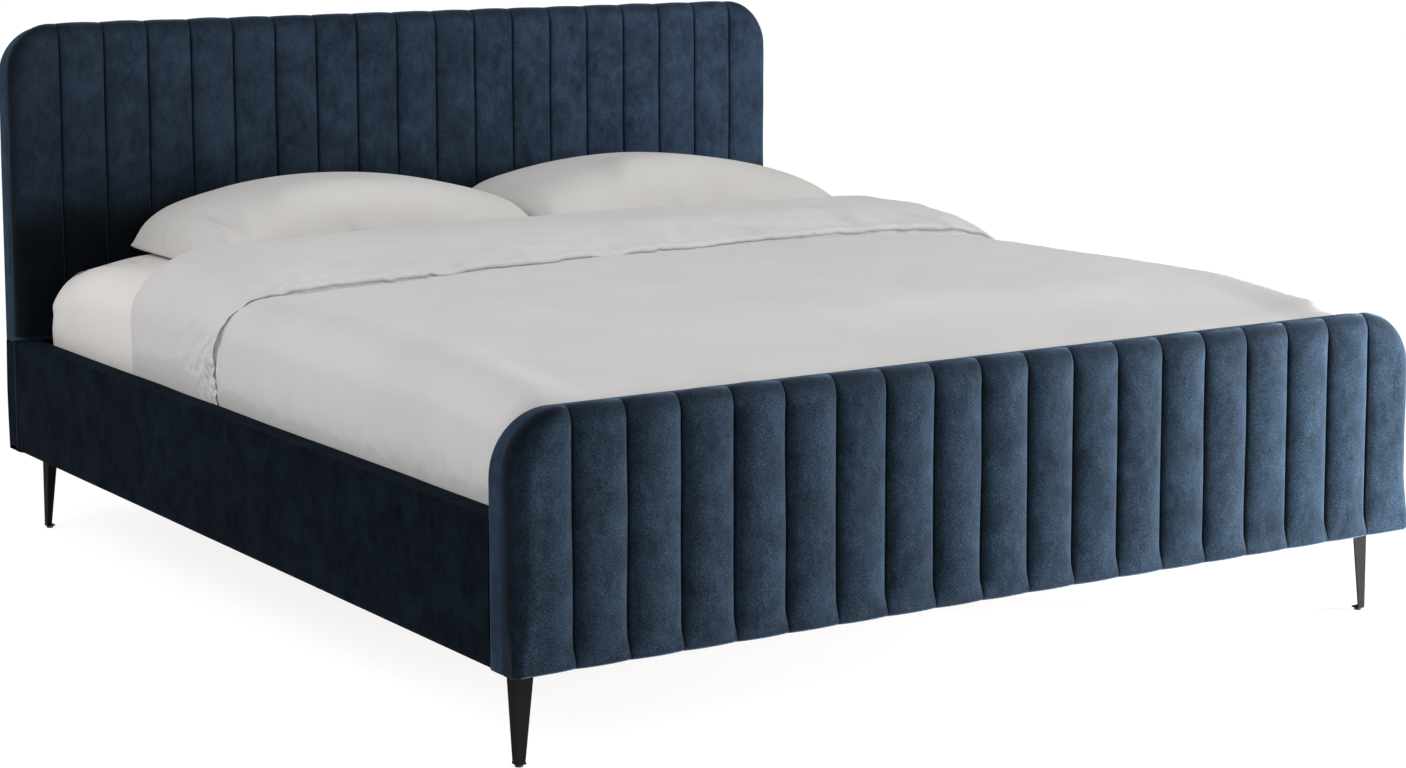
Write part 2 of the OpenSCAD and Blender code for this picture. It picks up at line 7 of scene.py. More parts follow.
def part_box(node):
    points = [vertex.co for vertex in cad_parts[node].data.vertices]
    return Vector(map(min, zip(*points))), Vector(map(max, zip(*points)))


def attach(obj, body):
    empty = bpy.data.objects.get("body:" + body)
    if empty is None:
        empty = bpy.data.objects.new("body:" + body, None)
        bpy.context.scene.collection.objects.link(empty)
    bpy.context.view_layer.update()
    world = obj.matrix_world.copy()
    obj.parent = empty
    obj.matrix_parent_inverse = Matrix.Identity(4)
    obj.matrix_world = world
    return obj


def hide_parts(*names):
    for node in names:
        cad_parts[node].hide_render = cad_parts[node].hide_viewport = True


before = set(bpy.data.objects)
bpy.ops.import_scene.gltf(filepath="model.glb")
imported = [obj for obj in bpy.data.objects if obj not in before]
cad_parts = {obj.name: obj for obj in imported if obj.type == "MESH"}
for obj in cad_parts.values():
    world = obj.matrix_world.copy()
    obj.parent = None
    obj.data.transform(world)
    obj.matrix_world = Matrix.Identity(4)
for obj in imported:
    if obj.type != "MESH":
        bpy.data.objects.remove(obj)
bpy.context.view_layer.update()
print("frame loaded,", len(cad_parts), "nodes")

view = {"place": (-3.1491, -5.0146, 1.4071), "turn": 0.56355, "down": 0.12195, "roll": -0.00381,
        "lens": 76.599, "sensor": 36.0, "shift": (0.0253, -0.1095), "farthest": 60}


def addCamera(v):
    data = bpy.data.cameras.new("camera")
    data.lens, data.sensor_width, data.sensor_fit = v["lens"], v["sensor"], "HORIZONTAL"
    data.shift_x, data.shift_y = v["shift"]
    data.clip_end = v["farthest"]
    made = bpy.data.objects.new("camera", data)
    bpy.context.scene.collection.objects.link(made)
    made.matrix_world = (Matrix.Translation(v["place"]) @ Matrix.Rotation(-v["turn"], 4, "Z")
                         @ Matrix.Rotation(math.pi / 2 - v["down"], 4, "X")
                         @ Matrix.Rotation(v["roll"], 4, "Z"))
    bpy.context.scene.camera = made


addCamera(view)


def boxOf(node):
    low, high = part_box(node)
    return np.array(low), np.array(high)


def smooth(t):
    # 0 below 0, 1 above 1, and the cubic 3t^2 - 2t^3 between
    t = np.clip(t, 0.0, 1.0)
    return t * t * (3 - 2 * t)


def bell(x, width):
    # 1 at 0, falling away on both sides as exp(-(x / width)^2)
    return np.exp(-(x / width) ** 2)


def roundOff(near, r):
    # how far a rounded edge of radius r lies below its face, near metres in: r - sqrt(r^2 - (r - near)^2)
    return r * (1 - np.sqrt(1 - np.clip(1 - near / r, 0, 1) ** 2))


def quarter(count):
    # evenly spaced angles from 0 to a right angle
    return np.radians(np.linspace(0, 90, count))


def ripple(x, y, cell, seed):
    # gradient noise from about -1 to 1: a random slope at each lattice corner, blended by the quintic fade
    gx, gy = np.floor(x / cell), np.floor(y / cell)
    fx, fy = x / cell - gx, y / cell - gy
    turns = np.random.default_rng(seed).uniform(0, 2 * np.pi, 4096)

    def corner(i, j):
        a = turns[(((gx + i) * 73 + (gy + j) * 179) % 4096).astype(int)]
        return np.cos(a) * (fx - i) + np.sin(a) * (fy - j)

    u, v = (f * f * f * (f * (f * 6 - 15) + 10) for f in (fx, fy))
    return 1.5 * ((1 - u) * (1 - v) * corner(0, 0) + u * (1 - v) * corner(1, 0)
                  + (1 - u) * v * corner(0, 1) + u * v * corner(1, 1))


def crease(x, y, cell, seed, sharp=2.0):
    # folds: 1 on the noise's zero lines, falling away on both sides
    return (1 - np.abs(np.clip(ripple(x, y, cell, seed), -1, 1))) ** sharp


def addMesh(name, points, faces, sharp=62):
    # edges that turn by more than sharp degrees are shaded as edges
    mesh = bpy.data.meshes.new(name)
    mesh.from_pydata(np.asarray(points, float).reshape(-1, 3).tolist(), [], faces)
    mesh.validate()
    mesh.polygons.foreach_set("use_smooth", np.ones(len(mesh.polygons), bool))
    mesh.set_sharp_from_angle(angle=math.radians(sharp))
    made = bpy.data.objects.new(name, mesh)
    bpy.context.scene.collection.objects.link(made)
    return made


def gridFaces(rows, columns, closeColumns=False, flip=False):
    # one quad for each cell of a grid of points, wrapped round where the columns close
    i = np.arange(rows - 1)[:, None]
    j = np.arange(columns if closeColumns else columns - 1)[None, :]
    j2 = (j + 1) % columns
    quads = np.stack([i * columns + j, i * columns + j2, (i + 1) * columns + j2, (i + 1) * columns + j], -1)
    quads = quads.reshape(-1, 4)
    return (quads[:, ::-1] if flip else quads).tolist()


def endCaps(rows, columns, flip=False):
    # one many-sided face over a tube's first row and one over its last
    first = list(range(columns))
    last = [(rows - 1) * columns + i for i in first]
    return [first[::-1], last] if flip else [first, last[::-1]]


def panelMesh(name, face, rear, flip=False):
    # a grid of face points, straight walls back from its rim, and one flat face over the back
    n, m = face.shape[:2]
    loop = np.concatenate([np.arange(m), np.arange(1, n) * m + m - 1, (n - 1) * m + np.arange(m - 2, -1, -1),
                           np.arange(n - 2, 0, -1) * m])
    back = n * m + np.arange(len(loop))
    walls = np.stack([loop, back, np.roll(back, -1), np.roll(loop, -1)], -1)
    faces = gridFaces(n, m, flip=flip) + (walls[:, ::-1] if flip else walls).tolist()
    faces.append((back if flip else back[::-1]).tolist())
    return addMesh(name, np.concatenate([face.reshape(-1, 3), rear.reshape(-1, 3)[loop]]), faces)


def dress(piece, body, slotName, material, *nodes):
    piece.data.materials.clear()
    piece.data.materials.append(material)
    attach(piece, body)
    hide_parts(*nodes)
    return piece


class Wire:
    # one value on its way through a material's nodes, so that sums on it become Math nodes

    def __init__(self, tree, socket=None):
        self.tree, self.socket = tree, socket

    def node(self, kind, settings=None, inputs=None, output=0):
        made = self.tree.nodes.new(kind)
        for name, value in (settings or {}).items():
            setattr(made, name, value)
        for name, value in (inputs or {}).items():
            if isinstance(value, Wire):
                self.tree.links.new(value.socket, made.inputs[name])
            else:
                made.inputs[name].default_value = value
        return Wire(self.tree, made.outputs[output])

    def math(self, operation, *values):
        return self.node("ShaderNodeMath", {"operation": operation}, dict(enumerate(values)))

    def __add__(self, other):
        return self.math("ADD", self, other)

    def __sub__(self, other):
        return self.math("SUBTRACT", self, other)

    def __rsub__(self, other):
        return self.math("SUBTRACT", other, self)

    def __mul__(self, other):
        return self.math("MULTIPLY", self, other)

    __radd__ = __add__
    __rmul__ = __mul__

    def mix(self, a, b):
        # from colour a to colour b as this value goes from 0 to 1
        return self.node("ShaderNodeMix", {"data_type": "RGBA"}, {0: self, 6: a, 7: b}, 2)

    def between(self, low, high, start=0.0, end=1.0):
        return self.node("ShaderNodeMapRange", {"clamp": True},
                         {"Value": self, "From Min": low, "From Max": high, "To Min": start, "To Max": end})

    def scaled(self, x, y, z):
        return self.node("ShaderNodeVectorMath", {"operation": "MULTIPLY"}, {0: self, 1: (x, y, z)})

    def noise(self, scale, detail=2.0, rough=0.5, distortion=0.0):
        return self.node("ShaderNodeTexNoise", None, {"Vector": self, "Scale": scale, "Detail": detail,
                                                      "Roughness": rough, "Distortion": distortion})

    def waves(self, direction, scale, distortion, detail, detailScale):
        return self.node("ShaderNodeTexWave", {"wave_type": "BANDS", "bands_direction": direction},
                         {"Vector": self, "Scale": scale, "Distortion": distortion, "Detail": detail,
                          "Detail Scale": detailScale}, 1)


def colour(hexText):
    # a written screen colour as the linear values that a shader takes
    c = [int(hexText[i:i + 2], 16) / 255 for i in (1, 3, 5)]
    return tuple(v / 12.92 if v <= 0.04045 else ((v + 0.055) / 1.055) ** 2.4 for v in c) + (1.0,)


def newMaterial(name, build, **constants):
    # build(here) returns what the shader's varying sockets take; constants go on its own sockets
    material = bpy.data.materials.new(name)
    material.use_nodes = True
    tree = material.node_tree
    shader = tree.nodes["Principled BSDF"]
    for socket, value in constants.items():
        shader.inputs[socket.replace("_", " ")].default_value = value
    here = Wire(tree).node("ShaderNodeTexCoord", None, None, "Object")
    for socket, value in build(here).items():
        tree.links.new(value.socket, shader.inputs[socket])
    return material


def bump(height, distance, strength, under=None):
    inputs = {"Height": height, "Distance": distance, "Strength": strength}
    if under is not None:
        inputs["Normal"] = under
    return height.node("ShaderNodeBump", None, inputs)


# scales are in features to the metre; a wave texture's band is 0.314 m wide at scale 1
# the darkest colour here is painted shade, mixed into the pads' seams, flanks and rolled edges and behind the
# bedding
velvetLook = {"napAndPaintedShade": 17.0, "brush": 60.0, "speck": 620.0, "pile": 1000.0, "seam": "#04070a",
              "sheenRough": 0.32, "sheenTint": "#7d97b5"}
cottonLook = {"slub": 420.0, "cloud": 5.0, "wrinkle": 60.0, "sheenRough": 0.5, "gloss": 0.25}
woodLook = {"light": "#c9a070", "dark": "#a87a48", "rings": 30.0, "pores": 900.0, "ringStretch": 0.06,
            "poreStretch": 0.02, "gloss": 0.35}
waveBand = 0.314


def velvet(name, dark, light, tip, sheen, gloss=0.05, paintedShade=False):
    # cloudy pile over a finer brushed mottle, specks of light pile ends, and a short-pile bump;
    # where a pad's own per-point attribute of painted shade falls to 0, the colour goes to the dark
    # painted-shade colour
    k = velvetLook

    def build(here):
        cloud = here.noise(k["napAndPaintedShade"], 2.0, 0.5, 0.5).between(0.3, 0.72)
        brushed = here.scaled(1.0, 1.0, 0.6).noise(k["brush"], 4.0, 0.68, 0.3).between(0.3, 0.72)
        speck = here.noise(k["speck"], 2.0, 0.7).between(0.44, 0.8)
        tone = cloud * 0.5 + brushed * 0.5
        base = tone.mix(colour(dark), colour(light))
        base = (speck * (0.17 + tone * 0.37)).mix(base, colour(tip))
        # painted shade: the pad's per-point attribute mixes the base towards the dark painted-shade colour
        if paintedShade:
            napAndPaintedShade = here.node("ShaderNodeAttribute", {"attribute_name": "napAndPaintedShade"}, None, 2)
            base = napAndPaintedShade.mix(colour(k["seam"]), base)
        pile = here.noise(k["pile"], 2.0, 0.65)
        return {"Base Color": base, "Roughness": tone.between(0, 1, 0.95, 0.82),
                "Normal": bump(pile, 0.0006, 0.6, bump(tone, 0.0012, 0.4))}

    return newMaterial(name, build, Sheen_Weight=sheen, Sheen_Roughness=k["sheenRough"],
                       Sheen_Tint=colour(k["sheenTint"]), Specular_IOR_Level=gloss)


def cotton(name, light, shade, thread, fuzz=0.10):
    # plain weave: two crossed waves, thread metres apart, on the object's own coordinates
    k = cottonLook

    def build(here):
        slub = here.scaled(1.0, 0.12, 1.0).noise(k["slub"], 2.0, 0.5)
        cloud = here.noise(k["cloud"], 3.0, 0.5)
        weave = (here.waves("X", waveBand / thread, 1.2, 1.0, 1.5)
                 + here.waves("Y", waveBand / thread, 1.2, 1.0, 1.5)) * 0.5
        tone = cloud.between(0.3, 0.7, 0.0, 0.6) + weave * 0.25 + slub * 0.15
        wrinkle = bump(here.noise(k["wrinkle"], 3.0, 0.5), 0.001, 0.25)
        return {"Base Color": tone.mix(colour(shade), colour(light)),
                "Roughness": slub.between(0.2, 0.8, 0.78, 0.92),
                "Normal": bump(weave * 0.7 + slub * 0.3, 0.0004, 0.5, wrinkle)}

    return newMaterial(name, build, Sheen_Weight=fuzz, Sheen_Roughness=k["sheenRough"],
                       Specular_IOR_Level=k["gloss"])


def wood(name, lengthAxis, light=woodLook["light"], dark=woodLook["dark"], rings=woodLook["rings"]):
    # rings and pores drawn out along the grain
    k = woodLook

    def stretched(share):
        return [share if axis == lengthAxis else 1.0 for axis in range(3)]

    def build(here):
        ring = here.scaled(*stretched(k["ringStretch"])).waves("DIAGONAL", rings, 6.0, 3.0, 1.2)
        pores = here.scaled(*stretched(k["poreStretch"])).noise(k["pores"], 2.0, 0.6)
        tone = ring * 0.7 + pores * 0.3
        return {"Base Color": tone.mix(colour(light), colour(dark)), "Roughness": tone.between(0, 1, 0.5, 0.72),
                "Normal": bump(tone, 0.0006, 0.4)}

    return newMaterial(name, build, Specular_IOR_Level=k["gloss"])


def plain(name, light, dark, scale, rough, depth, **constants):
    # a slight mottle, with a grain eight times finer in the bump
    def build(here):
        mottle = here.noise(scale, 3.0, 0.55)
        return {"Base Color": mottle.between(0.3, 0.7).mix(colour(dark), colour(light)),
                "Roughness": mottle.between(0.2, 0.8, rough - 0.07, rough + 0.07),
                "Normal": bump(here.noise(scale * 8, 1.0, 0.5), depth, 0.5)}

    return newMaterial(name, build, **constants)


velvetFace = velvet("velvet face", "#080e14", "#17222e", "#536d88", 0.92, paintedShade=True)
# painted light: a lighter copy of the face velvet for the headboard
velvetHeadPaintedLighter = velvet("velvet face painted lighter", "#19222d", "#35455a", "#6d89a8", 0.92, paintedShade=True)
velvetEdge = velvet("velvet edge", "#0f1822", "#233242", "#4d6478", 0.42)
# painted shade: the rails' velvet is made far darker than the face velvet, for the shade on their sides
velvetRailPaintedDarker = velvet("velvet rail painted darker", "#020508", "#0c141d", "#22303f", 0.04, 0.02)
sheetCotton = cotton("fitted sheet cotton", "#e0dcda", "#d8d4d1", 0.0011)
duvetCotton = cotton("duvet cotton", "#cac9c9", "#c2c0bf", 0.0012)
pillowCotton = cotton("pillow cotton", "#cac8c6", "#c1bebb", 0.0010)
pineLong, pineAcross, pineUp = (wood("pine " + way, axis)
                                for way, axis in (("along the bed", 1), ("across the bed", 0), ("upright", 2)))
plyWood = wood("plywood", 0, "#c2a076", "#a98457", 14.0)
blackSteel = plain("black steel", "#0f0c0c", "#0a0808", 160.0, 0.68, 0.0003, Metallic=0.0,
                   Specular_IOR_Level=0.06)
zincSteel = plain("zinc steel", "#b9bbbd", "#8f9295", 220.0, 0.36, 0.0002, Metallic=1.0)
blackPlastic = plain("black plastic", "#1d1c1c", "#141313", 300.0, 0.48, 0.0002)
lining = plain("black lining", "#26262a", "#18181b", 900.0, 0.9, 0.0006)
webTape = plain("webbing tape", "#d8d2c4", "#b9b2a2", 500.0, 0.85, 0.0006)

# finishes of the modelled parts that show as they are, by the start of a name or by _part inside it
finishes = {"slats": pineAcross, "slat_tapes": webTape, "centre_beam": pineLong, "rail_board": plyWood,
            "slat_ledge": pineLong, "leg_block": pineUp, "leg_glides": blackPlastic, "leg_": blackSteel,
            "bracket": blackSteel, "bolts": zincSteel, "wood_screws": zincSteel, "beam_hanger": zincSteel,
            "support_leg": blackSteel, "levelling_foot": blackPlastic, "_panel": plyWood, "_stile": pineUp,
            "_rail": pineAcross, "_post": pineUp, "_corner": pineUp}

for nodeName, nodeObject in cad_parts.items():
    found = [m for key, m in finishes.items()
             if nodeName.startswith(key) or (key[0] == "_" and key in nodeName)]
    slots = nodeObject.data.materials
    if found and not slots:
        slots.append(found[0])
    for index in range(len(slots) if found else 0):
        slots[index] = found[0]
print("materials made")

# the channelled pads of both boards: the outermost seams lie firstSeam to either side of the middle
channels = {"count": 19, "firstSeam": 0.851, "cornerR": 0.105, "edgeR": 0.034, "topR": 0.052, "footR": 0.011,
            "depth": 0.0145, "edgeDepth": 0.0025, "fullness": 0.62, "wobble": 0.0012, "pucker": 0.0005,
            "lump": 0.0012, "seamWidth": 0.0028}
tiny = 1e-9


def outlineTop(x, half, top, radius):
    # height of a board's rounded outline above each x
    over = np.clip(np.abs(x) - (half - radius), 0, radius)
    return top - radius + np.sqrt(np.maximum(radius ** 2 - over ** 2, 0))


def padColumns(half):
    # places across a pad: sixteen to a channel, closest at its seams, and spaced round the arc at both ends
    c = channels
    seams = np.linspace(-c["firstSeam"], c["firstSeam"], c["count"] - 1)
    width = seams[1] - seams[0]
    share = np.array([-1, -.985, -.95, -.88, -.78, -.64, -.46, -.24, 0, .24, .46, .64, .78, .88, .95, .985])
    inner = (seams[:-1, None] + width / 2 + share * width / 2).ravel()
    outer = half - c["cornerR"] + c["cornerR"] * np.sin(quarter(17))
    beside = c["firstSeam"] + np.array([0, 0.0008, 0.0024])
    right = np.concatenate([beside, outer[outer > c["firstSeam"] + 0.0035]])
    return np.concatenate([-right[::-1], inner[1:], right]), width


def channelledPad(name, node, rows, seed):
    # A grid of columns across the board and rows up it. Each point lies behind the crest by a quarter circle of
    # its distance to the rounded outline, of edgeR at the sides and topR at the top, and every channel swells
    # along the normal as (1 - s^2)^fullness, with s from -1 to 1 between its two seams.
    c = channels
    low, high = boxOf(node)
    half, base, top, front, back = high[0], low[2], high[2], low[1], high[1]
    isHead = back > 0
    r, corner, tall, foot = c["edgeR"], c["cornerR"], c["topR"], c["footR"]
    x, width = padColumns(half)
    zTop = outlineTop(x, half, top, corner)
    body = np.linspace(0, 1, rows)[:-1]
    z = np.concatenate([base + foot + (zTop - tall - base - foot)[None, :] * body[:, None],
                        (zTop[None, :] - tall) + (tall * np.sin(quarter(11)))[:, None]])
    xx = np.broadcast_to(x, z.shape).copy()
    # the distance in from the outline, and the direction out of it
    sx, sz = np.abs(xx) - (half - corner), z - (top - corner)
    inCorner = (sx > 0) & (sz > 0)
    reach = np.hypot(np.maximum(sx, 0), np.maximum(sz, 0))
    distance = np.where(inCorner, corner - reach, np.minimum(half - np.abs(xx), top - z))
    sideOut = (half - np.abs(xx)) <= (top - z)
    outX = np.where(inCorner, np.sign(xx) * np.maximum(sx, tiny) / np.maximum(reach, tiny),
                    np.where(sideOut, np.sign(xx), 0))
    outZ = np.where(inCorner, np.maximum(sz, tiny) / np.maximum(reach, tiny), np.where(sideOut, 0, 1))
    # the footboard's sides are rounded less towards its bottom edge
    tight = r if isHead else r * (0.4 + 0.6 * smooth((z - base) / 0.12))
    reachIn = np.where(inCorner, np.hypot(outX * tight, outZ * tall), np.where(sideOut, tight, tall))
    sinA = np.clip(1 - distance / reachIn, 0, 1)
    cosA = np.sqrt(1 - sinA ** 2)
    y = front + tight * (1 - cosA)
    # the swell of the channels, with puckers beside the seams and slow lumps in the foam
    place = (xx + c["firstSeam"]) / width
    endPart = np.abs(xx) > c["firstSeam"]
    s = np.where(endPart, -1 + np.minimum((np.abs(xx) - c["firstSeam"]) / (width / 2), 1),
                 2 * (place - np.floor(place)) - 1)
    fromSeam = 1 - np.abs(s)
    swell = np.maximum(1 - s ** 2, 0) ** c["fullness"]
    depth = (c["depth"] + (c["edgeDepth"] - c["depth"]) * sinA ** 1.5) * (1 + 0.12 * ripple(xx, z, 0.22, seed))
    near = bell(fromSeam, 0.22)
    tug = near * fromSeam * 4 * c["pucker"] * ripple(xx * 0.4, z, 0.014, seed + 1)
    lump = c["lump"] * ripple(xx, z, 0.09, seed + 2) * swell
    sink = (depth * (1 - swell) + tug - lump) * (0.06 + 0.94 * smooth((z - base) / 0.045))
    normal = np.stack([outX * sinA, -cosA, outZ * sinA], -1)
    points = np.stack([xx, y, z], -1) - normal * sink[..., None]
    points[..., 0] += (c["wobble"] * ripple(np.round(place) * 3.7, z, 0.16, seed + 3) * near) * cosA
    # the bottom edge rolls under, back to the board
    first = points[0]
    rolled = [np.stack([first[:, 0], first[:, 1] + foot * (1 - math.cos(a)),
                        base + foot * (1 - math.sin(a)) + 0.35 * sink[0] * math.sin(a)], -1)
              for a in np.radians([90, 62, 32])]
    tucked = rolled[0].copy()
    tucked[:, 1] = np.maximum(back - 0.001, tucked[:, 1])
    points = np.concatenate([[tucked], rolled, points])
    n, m = points.shape[:2]
    # the flank goes straight back from the outline to the board
    loop = np.concatenate([np.arange(n) * m, (n - 1) * m + np.arange(1, m),
                           np.arange(n - 2, -1, -1) * m + m - 1])
    flat = points.reshape(-1, 3)
    halfway, behind = flat[loop], flat[loop]
    halfway[:, 1] = halfway[:, 1] * 0.5 + back * 0.5
    behind[:, 1] = back
    k = len(loop)
    ids = np.stack([loop, len(flat) + np.arange(k), len(flat) + k + np.arange(k)])
    strip = np.stack([ids[:-1, :-1], ids[:-1, 1:], ids[1:, 1:], ids[1:, :-1]], -1).reshape(-1, 4)
    faces = gridFaces(n, m) + strip[:, ::-1].tolist() + [ids[2].tolist()]
    made = addMesh(name, np.concatenate([flat, halfway, behind]), faces)
    # the per-point attribute of painted shade: 1 on the open face, falling to 0 in the seams and on the flank,
    # where shade would fall
    paintedShade = bell(fromSeam * width / 2, c["seamWidth"]) * 0.95
    paintedShade = np.maximum(np.where(endPart & (np.abs(xx) > half - 0.06), 0, paintedShade),
                         0.72 * smooth((sinA - 0.62) / 0.33) * (sideOut | inCorner))
    # painted shade on all the rolled edges, the top roll included, darker the further they turn
    paintedShade = np.maximum(paintedShade, 0.42 * smooth((sinA - 0.45) / 0.4))
    if isHead:  # painted shadow of the bedding over the lower left, and painted light growing towards the right
        paintedShadow = smooth((0.765 + 0.03 * ripple(xx, z, 0.3, seed + 5) - z) / 0.15)
        paintedShade = np.maximum(paintedShade, 0.92 * paintedShadow * (1 - smooth((xx - 0.25) / 0.3)))
        # painted light: the whole board darker on the left and lighter towards the right
        paintedShade = 1 - (1 - paintedShade) * (0.32 + 0.68 * smooth((xx + 1.0) / 2.0) ** 1.2)
    # painted shade on the rolled-under bottom rows (0.5) and darker still on the flank walls going back (0.2)
    napAndPaintedShade = np.concatenate([np.full((n - len(z)) * m, 0.5), (1 - paintedShade).ravel(), np.full(2 * k, 0.2)])
    made.data.attributes.new("napAndPaintedShade", "FLOAT", "POINT").data.foreach_set("value", napAndPaintedShade)
    return made


dress(channelledPad("headboard_channels", "headboard_channel_pad", 46, 11), "frame", "velvet", velvetHeadPaintedLighter,
      "headboard_channel_pad")
dress(channelledPad("footboard_channels", "footboard_channel_pad", 28, 21), "frame", "velvet", velvetFace,
      "footboard_channel_pad")
print("channelled pads made")

bandLook = {"bulge": 0.0009, "seamR": 0.003, "thick": 0.003, "sunk": 0.0012, "wave": 0.0007, "lap": 0.004}


def boxingBand(name, node, seed, start=0.0):
    # a short section across the band, bowed by a sine, carried along the board's arched outline
    b = bandLook
    low, high = boxOf(node)
    half, top, front, back = high[0], high[2], low[1], high[1]
    corner, turn = channels["cornerR"], quarter(19)
    up = np.linspace(max(low[2], start), top - corner, 40)[:-1]
    over = np.linspace(-(half - corner), half - corner, 90)[1:-1]
    path = np.concatenate([
        np.stack([np.full_like(up, -half), up], 1),
        np.stack([-(half - corner) - corner * np.cos(turn), top - corner + corner * np.sin(turn)], 1),
        np.stack([over, np.full_like(over, top)], 1),
        np.stack([(half - corner) + corner * np.sin(turn), top - corner + corner * np.cos(turn)], 1),
        np.stack([np.full_like(up, half), up[::-1]], 1)])
    step = np.gradient(path, axis=0)
    step /= np.linalg.norm(step, axis=1, keepdims=True)
    out = np.stack([-step[:, 1], step[:, 0]], 1)
    along = np.concatenate([[0], np.cumsum(np.linalg.norm(np.diff(path, axis=0), axis=1))])
    v = np.linspace(0, 1, 13)
    y = front + (back - front) * v
    bow = np.sin(np.pi * v)
    lift = b["bulge"] * bow - b["sunk"] - roundOff(y - front, b["seamR"]) - roundOff(back - y, b["seamR"])
    lift = lift + b["wave"] * ripple(along[:, None], y[None, :] * 2, 0.11, seed) * bow
    outer = np.stack([path[:, :1] + out[:, :1] * lift, np.broadcast_to(y, lift.shape),
                      path[:, 1:] + out[:, 1:] * lift], -1)
    rim, pair = path - out * b["thick"], (len(path), 2)
    inner = np.stack([np.broadcast_to(rim[:, :1], pair), np.broadcast_to([back, front], pair),
                      np.broadcast_to(rim[:, 1:], pair)], -1)
    ring = np.concatenate([outer, inner], 1)
    n, m = ring.shape[:2]
    return addMesh(name, ring, gridFaces(n, m, closeColumns=True) + endCaps(n, m))


railTop = boxOf("rail_cover_left")[1][2]
dress(boxingBand("headboard_boxing_band", "headboard_band", 31, railTop - bandLook["lap"]), "frame", "velvet",
      velvetEdge, "headboard_band")
dress(boxingBand("footboard_boxing_band", "footboard_band", 33), "frame", "velvet", velvetEdge,
      "footboard_band")
print("boxing bands made")

railLook = {"roundR": 0.009, "bow": 0.0016, "wave": 0.0014, "dent": 0.0008, "topWave": 0.0009,
            "along": 150, "pastBoard": 12}


def wrappedRail(name, node, side, seed):
    # a rounded box section, bowed a little on its outer face, carried along the rail with a slow wave in the
    # padding; beside the headboard only a thin outer part of it goes on to the back
    k = railLook
    low, high = boxOf(node)
    inner, outer = (low[0], high[0]) if side > 0 else (-high[0], -low[0])
    r, base, top = k["roundR"], low[2] - 0.0004, high[2]
    arcs = []
    for cx, cz, start in ((outer - r, base + r, -90), (outer - r, top - r, 0), (inner + r, top - r, 90),
                          (inner + r, base + r, 180)):
        angle = quarter(7) + math.radians(start)
        arcs.append(np.stack([cx + r * np.cos(angle), cz + r * np.sin(angle)], 1))
    section = []
    for arc, following, count in zip(arcs, arcs[1:] + arcs[:1], (18, 8, 18, 8)):
        section += [arc, arc[-1] + (following[0] - arc[-1]) * np.linspace(0, 1, count)[1:-1, None]]
    section = np.concatenate(section)
    backEnd = boxOf("headboard_back_cover")[1][1] - 0.0005
    boardEnd = high[1] - low[1] - 0.001
    y = np.concatenate([np.linspace(low[1], high[1] - 0.0005, k["along"]),
                        np.linspace(high[1] - 0.0002, backEnd, k["pastBoard"])])
    n, m = len(y), len(section)
    xx, zz = (np.broadcast_to(section[:, i], (n, m)).copy() for i in (0, 1))
    yy = np.broadcast_to(y[:, None], (n, m))
    bow = k["bow"] * (np.sin(np.pi * np.clip((zz - base) / (top - base), 0, 1)) - 1)
    wave = k["wave"] * ripple(yy, zz * 1.5, 0.31, seed) + k["dent"] * ripple(yy, zz, 0.12, seed + 1)
    xx += smooth((xx - (outer - 0.006)) / 0.005) * (bow + np.minimum(wave, 0.0012) - 0.0006)
    zz += smooth((zz - (top - 0.006)) / 0.005) * (-0.0008 + k["topWave"] * ripple(yy, xx, 0.2, seed + 2))
    past = smooth((yy - low[1] - boardEnd + 0.004) / 0.004)
    xx = np.where(yy > low[1] + boardEnd, np.maximum(xx, outer - 0.003), xx) + 0.0007 * past
    faces = gridFaces(n, m, closeColumns=True, flip=side > 0) + endCaps(n, m, flip=side < 0)
    return addMesh(name, np.stack([xx * side, yy, zz], -1), faces)


dress(wrappedRail("left_rail_cover", "rail_cover_left", -1, 41), "frame", "velvet_dark", velvetRailPaintedDarker,
      "rail_cover_left")
dress(wrappedRail("right_rail_cover", "rail_cover_right", 1, 43), "frame", "velvet_dark", velvetRailPaintedDarker,
      "rail_cover_right")

apronLook = {"rise": 0.001, "edge": 0.008, "cell": 0.02, "wave": 0.0006}


def puffedPanel(name, node, seed):
    # a thin upholstered panel: its face rounds off by a quarter circle at the four edges and bows out by rise
    k = apronLook
    low, high = boxOf(node)
    beside = k["edge"] * np.array([0, 0.15, 0.5])

    def places(start, end):
        even = np.linspace(start, end, int((end - start) / k["cell"]) + 2)[1:-1]
        return np.concatenate([start + beside, even, end - beside[::-1]])

    x, z = np.meshgrid(places(low[0], high[0]), places(low[2], high[2]))
    near = np.minimum(np.minimum(x - low[0], high[0] - x), np.minimum(z - low[2], high[2] - z))
    thick = high[1] - low[1]
    bow = (np.sin(np.pi * (x - low[0]) / (high[0] - low[0])) ** 0.5
           * np.sin(np.pi * (z - low[2]) / (high[2] - low[2])) ** 0.5)
    drop = np.minimum(roundOff(near, k["edge"]), thick * 0.8) + k["rise"] * (1 - bow)
    drop = np.clip(drop + k["wave"] * ripple(x, z, 0.17, seed), 0.0002, thick * 0.85)
    return panelMesh(name, np.stack([x, low[1] + drop, z], -1), np.stack([x, np.full_like(x, high[1]), z], -1))


# the apron carries no per-point shade attribute, so velvetFace paints all of it in its dark painted-shade
# colour
dress(puffedPanel("headboard_apron", "headboard_apron_pad", 45), "frame", "velvet", velvetFace,
      "headboard_apron_pad")
print("rails and apron made")

coverLook = {"wave": 0.0006, "sunk": 0.0007, "across": 70, "up": 40}


